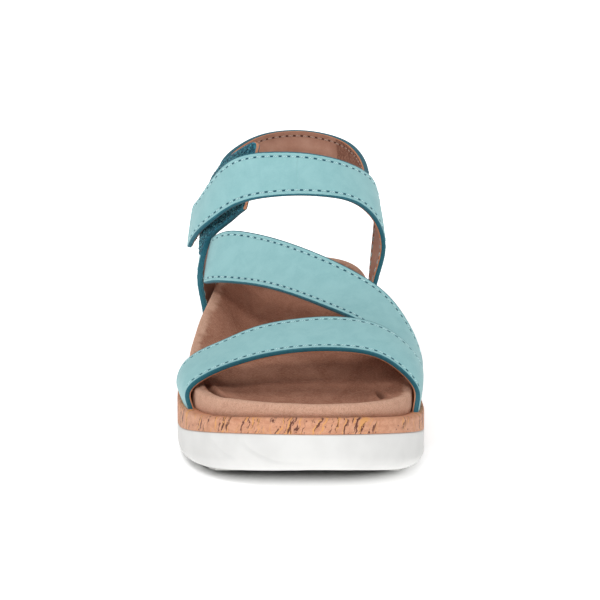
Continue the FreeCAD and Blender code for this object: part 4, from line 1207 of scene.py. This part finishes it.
def stitch_rows(shape, ribbon, sewn, depth, u_range=(0.0, 1.0), inwards=False):
    """Two-ply stitches along both edges. Each dips into its needle holes at both ends."""
    dense = np.linspace(0, 1, 2400)
    columns, along = 10, 11
    gap = (1 - STITCH_LENGTH / STITCH_PITCH) / 2
    t = np.linspace(-1, 1, along)
    sink = (-0.5 if inwards else 0.5) * np.abs(t) ** 3.5
    for from_front in (True, False):
        counts = stitch_counts(ribbon, dense, sewn, from_front)
        low, high, last = np.interp([max(sewn[0], u_range[0]), u_range[1], sewn[1]], dense, counts)
        for number in range(math.ceil(low - 1e-6), min(math.ceil(high), int(last))):
            shares = np.linspace(number + gap - 0.04, number + 1 - gap + 0.04, along)
            u = np.interp(shares, counts, dense)
            margin = (STITCH_MARGIN + RANDOM.normal(0, 0.03)) / ribbon.width(u)
            v = margin if from_front else 1 - margin
            line = ribbon.point(u, v, depth + sink)
            up = ribbon.normal(u, v)
            aside = np.cross(unit_rows(np.gradient(line, axis=0)), up)
            twist = shares * 2 * math.pi * 1.3 * (STITCH_PITCH / STITCH_LENGTH) + number
            angles = np.linspace(0, 2 * math.pi, columns, endpoint=False)
            plies = np.cos(2 * (angles - twist[:, None]))
            ends = np.sqrt(np.clip(1 - np.abs(t) ** 7, 0.02, 1))[:, None]
            rings = tube(line, aside, up * 0.85, THREAD_RADIUS * 0.98 * (1 + 0.2 * plies) * ends, columns)
            start = shape.count
            end = start + (along - 1) * columns
            shape.add(rings, grid_faces(along, columns, close_columns=True), ply=(plies * 0.5 + 0.5).ravel())
            shape.polygons([range(start, start + columns), range(end + columns - 1, end - 1, -1)])
    return shape


def fix_normals(piece):
    """Turn every face outwards."""
    mesh = bmesh.new()
    mesh.from_mesh(piece.data)
    bmesh.ops.recalc_face_normals(mesh, faces=mesh.faces)
    mesh.to_mesh(piece.data)
    mesh.free()


toe = Ribbon(tail_stations("toe_lateral", True) + free_stations(TOE_STATIONS)
             + tail_stations("toe_medial", False))
instep = Ribbon(free_stations(INSTEP_STATIONS) + tail_stations("instep_medial", False))
quarter = Ribbon(tail_stations("quarter_lateral", True) + free_stations(QUARTER_STATIONS))
ankle = Ribbon(free_stations(ANKLE_STATIONS) + tail_stations("quarter_medial", False))
heel = Ribbon(free_stations(HEEL_STATIONS))


def plain_strap(name, ribbon, sewn, free=(False, False), bends=None, u_range=(0.0, 1.0), nodes=None,
                lining_inset=0.4, bare=None, skin=None, painted=0.0):
    """A strap's leather, lining and threads, each its own piece.

    bends is set for a strap that crosses a joint: its two bodies, the joint's place and a reach to each side
    of it, in millimetres. Its pieces are then left unattached, with their transforms baked in; nothing bends
    them, and these values are not used further.
    of the bend to each side of it, in millimetres."""
    nodes = nodes or [name]
    inner = LEATHER + LINING
    leather = strap_skin(Shape(), ribbon, u_range, 0.0, LEATHER, 0.45, free, sewn, bare=bare)
    lining = strap_skin(Shape(), ribbon, u_range, LEATHER - 0.02, inner, 0.12, free, sewn, seam_inside=True,
                        margin=lining_inset, step=0.7, painted=painted)
    threads = stitch_rows(Shape(), ribbon, sewn, 0.03, u_range)
    stitch_rows(threads, ribbon, sewn, inner - 0.05, u_range, inwards=True)
    for part, ending, material, slot, node_ending in (
            (leather, "_leather", NUBUCK, "nubuck", ""),
            (lining, "_underside", skin or LINING_SKIN, "lining", "_lining"),
            (threads, "_threads", THREAD_TEAL, "thread", "_stitching")):
        piece = part.make(name + ending, material, slot=slot, replaces=[node + node_ending for node in nodes],
                          body=None if bends else "sandal")
        fix_normals(piece)
        if bends:
            first_body, second_body, joint, reach = bends
            start, end = [Vector(ribbon.outside(np.array(joint + sign * reach / ribbon.length), 0.5)) * MM
                          for sign in (1, -1)]
            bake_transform(piece)


def make_heel_sling():
    """The heel sling: leather outside, a quilted lining over its pad inside, threads."""
    sewn = (0.12, 0.88)
    start, end = PAD_RANGE

    def inner(u, across, width):
        along = smooth_step(np.minimum((u - start) / 0.035, (end - u) / 0.06))
        swell = HEEL_PAD * along * smooth_step((np.minimum(across, width - across) - 2.9) / 4.5)
        seam_line = 0.25 * np.exp(-((u - start) * heel.length / 0.55) ** 2)
        return LEATHER + 0.15 + LINING + swell - seam_line

    def plain(u):
        return 1 - smooth_step((u - start + 0.004) / 0.006)

    both = (True, True)
    leather = strap_skin(Shape(), heel, (0.03, 1), 0.0, LEATHER, 0.45, both, sewn)
    lining = strap_skin(Shape(), heel, (0, 1), LEATHER + 0.03, inner, 0.2, both, sewn, seam_inside=True,
                        margin=0.1, plain=plain)
    threads = stitch_rows(Shape(), heel, sewn, 0.03)
    inner_threads = stitch_rows(Shape(), heel, sewn, LEATHER + 0.1 + LINING, inwards=True)
    pieces = [
        leather.make("heel_sling_leather", NUBUCK, slot="nubuck", replaces=["heel_strap"]),
        lining.make("heel_sling_padding", LINING_SKIN, slot="lining",
                    replaces=["heel_strap_lining", "heel_pad"]),
        threads.make("heel_sling_threads", THREAD_TEAL, slot="thread", replaces=["heel_strap_stitching"]),
        inner_threads.make("heel_sling_inner_threads", THREAD_TAN, slot="thread"),
    ]
    for piece in pieces:
        fix_normals(piece)


def make_loop_tape():
    """Loop tape on the quarter's ear: a woven base and thousands of crimped loops."""
    shape = Shape()
    strap_skin(shape, quarter, (LOOP_START, 1.0), -TAPE * 0.55, -0.02, 0.2, (True, True), round_ends=3.0,
               margin=0.15)
    t = np.linspace(0, math.pi, 7)
    columns = 4
    for _ in range(LOOP_COUNT):
        u0 = RANDOM.uniform(LOOP_START + 0.01, 1.0 - 0.012)
        v0 = RANDOM.uniform(0.03, 1.0 - 0.03)
        turn = RANDOM.uniform(0, 2 * math.pi)
        reach = RANDOM.uniform(0.5, 1.1)
        tall = RANDOM.uniform(0.45, 1.1)
        lean = RANDOM.uniform(-0.5, 0.5)
        run = np.cos(t) * 0.5 * reach + lean * np.sin(t) * tall
        u = np.clip(u0 + run * math.cos(turn) / quarter.length, 0, 1)
        v = v0 + run * math.sin(turn) / quarter.width(u)
        line = quarter.point(u, v, -(TAPE * 0.45 + np.sin(t) * tall * 0.75))
        add_fibre(shape, line, quarter.normal(u, v), LOOP_RADIUS, columns, np.sin(t))
    shape.make("loop_tape_pile", LOOP_PILE, slot="loop_pile", replaces=["loop_tape"])


def make_hook_tape():
    """Hook tape under the tab: a woven base and rows of small bent hooks."""
    low, high = 0.014, TAB_END - 0.014
    top = LEATHER + LINING + 0.03
    shape = Shape()
    strap_skin(shape, ankle, (low, high), top, top + TAPE * 0.5, 0.15, (True, True), round_ends=2.5,
               margin=1.3)
    t = np.linspace(0, 1, 6)
    columns = 4
    for row, u0 in enumerate(np.linspace(low + 0.01, high - 0.008, 24)):
        odd = row % 2
        for v0 in np.linspace(0.13, 0.87, 15):
            u = u0 + (0.35 * t ** 2 + 0.1 * odd) / ankle.length
            v = np.full(len(t), v0 + 0.015 * odd)
            line = ankle.point(u, v, top + TAPE * 0.4 + 0.75 * np.sin(t * 2.3))
            add_fibre(shape, line, ankle.normal(u, v) + 0.01, HOOK_RADIUS, columns, t)
    shape.make("hook_tape_hooks", HOOK_PILE, slot="hook_pile", replaces=["hook_tape"], body="ankle_tab_body")


def add_fibre(shape, line, normal, radius, columns, tip):
    """A thin tube along a line that rises from a tape. tip says how near its top each point is."""
    run = unit_rows(np.gradient(line, axis=0))
    side = unit_rows(np.cross(run, normal), 1e-9)
    rings = tube(line, side, np.cross(side, run), radius, columns)
    shape.add(rings, grid_faces(len(line), columns, close_columns=True), tip=np.repeat(tip, columns))


# ---------------------------------------------------------------- stage, lights and camera

def make_stage():
    """A white floor that glows all round the sandal, so that it is pure white but for the shadow."""
    mesh = bpy.data.meshes.new("floor")
    corners = [(-1, -1), (1, -1), (1, 1), (-1, 1)]
    mesh.from_pydata([(x * FLOOR_REACH, y * FLOOR_REACH, 0) for x, y in corners], [], [(0, 1, 2, 3)])
    floor = bpy.data.objects.new("floor", mesh)
    bpy.context.scene.collection.objects.link(floor)
    paint = Paint("floor_white", cad=True, Roughness=0.9, Specular_IOR_Level=0.1)
    cloud = paint.noise(0.002, 2)
    split = paint.tree.nodes.new("ShaderNodeSeparateXYZ")
    paint.plug(split.inputs[0], paint.place)
    parts = []
    for k, middle, reach in ((0, 0.0, 50.0), (1, 10.0, 120.0)):
        share = paint.maths("DIVIDE", paint.maths("SUBTRACT", split.outputs[k], middle), reach)
        parts.append(paint.maths("POWER", paint.maths("ABSOLUTE", share), 4.0))
    away = paint.maths("POWER", paint.maths("ADD", *parts), 0.25)
    near = paint.fade(away, 0.86, 1.06, 0.0, 0.5)
    glow = paint.maths("ADD", near, paint.fade(away, 1.1, 5.0, 0.0, 0.6))
    paint.shader.inputs["Emission Color"].default_value = (1.0, 1.0, 1.0, 1.0)
    paint.plug(paint.shader.inputs["Emission Strength"], glow)
    mesh.materials.append(paint.finish(paint.mix(cloud, (0.93, 0.93, 0.93, 1), (0.95, 0.95, 0.95, 1))))


def add_area(name, place, target, width, height, power):
    light = bpy.data.lights.new(name, "AREA")
    light.shape = "RECTANGLE"
    light.size = width
    light.size_y = height
    light.energy = power
    lamp = bpy.data.objects.new(name, light)
    lamp.location = place
    lamp.rotation_euler = (Vector(target) - Vector(place)).to_track_quat("-Z", "Y").to_euler()
    bpy.context.scene.collection.objects.link(lamp)


def make_world():
    world = bpy.data.worlds.new("studio")
    world.use_nodes = True
    background = world.node_tree.nodes["Background"]
    background.inputs["Color"].default_value = (1.0, 1.0, 1.0, 1.0)
    background.inputs["Strength"].default_value = WORLD_STRENGTH
    bpy.context.scene.world = world
    bpy.context.scene.view_settings.view_transform = "Standard"


def make_camera():
    camera = bpy.data.cameras.new("camera")
    camera.lens = CAMERA_LENS
    camera.sensor_width = 36.0
    camera.clip_end = 50.0
    eye = bpy.data.objects.new("camera", camera)
    target = Vector((0, 0, CAMERA_TARGET_HEIGHT))
    tilt = math.radians(CAMERA_ELEVATION)
    eye.location = target + CAMERA_DISTANCE * Vector((0, -math.cos(tilt), math.sin(tilt)))
    eye.rotation_euler = (target - eye.location).to_track_quat("-Z", "Y").to_euler()
    bpy.context.scene.collection.objects.link(eye)
    bpy.context.scene.camera = eye


make_camera()
make_world()
make_stage()
add_area("key_light", (-0.2, -0.95, 0.8), (0, -0.06, 0.03), 0.28, 0.28, 5.6)
add_area("overhead", (0.0, 0.1, 1.2), (0, 0, 0.05), 1.3, 1.1, 4.6)

make_midsole()
make_tread("outsole_forefoot_rubber", "outsole_forefoot", FOREFOOT_TREAD, FOREFOOT_GROOVE)
make_tread("outsole_heel_rubber", "outsole_heel", HEEL_TREAD, HEEL_GROOVE)
make_cork()
make_footbed()

plain_strap("toe_strap", toe, (0.13, 0.87))
plain_strap("instep_strap", instep, (0.04, 0.86), free=(True, False))
plain_strap("lateral_quarter", quarter, (0.2, LOOP_START - 0.01), free=(False, True), skin=LINING_PAINTED,
            painted=1.4, bare=lambda u: smooth_step((u - 0.975) / 0.01))
plain_strap("ankle_tab", ankle, (0.015, 0.9), free=(True, False), u_range=(0.0, STRAP_MIDDLE),
            lining_inset=0.9, bends=("ankle_strap_body", "ankle_tab_body", TAB_END, 7.0))
plain_strap("ankle_strap", ankle, (0.015, 0.9), u_range=(STRAP_MIDDLE, 1.0),
            nodes=["ankle_strap", "medial_quarter"], bends=("sandal", "ankle_strap_body", STRAP_END, 8.0))
make_heel_sling()
make_loop_tape()
make_hook_tape()

for node, material in {"platform_core": CORE_FOAM, "insole_board": BOARD, "shank": STEEL}.items():
    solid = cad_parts[node]
    solid.data.materials.clear()
    solid.data.materials.append(material)
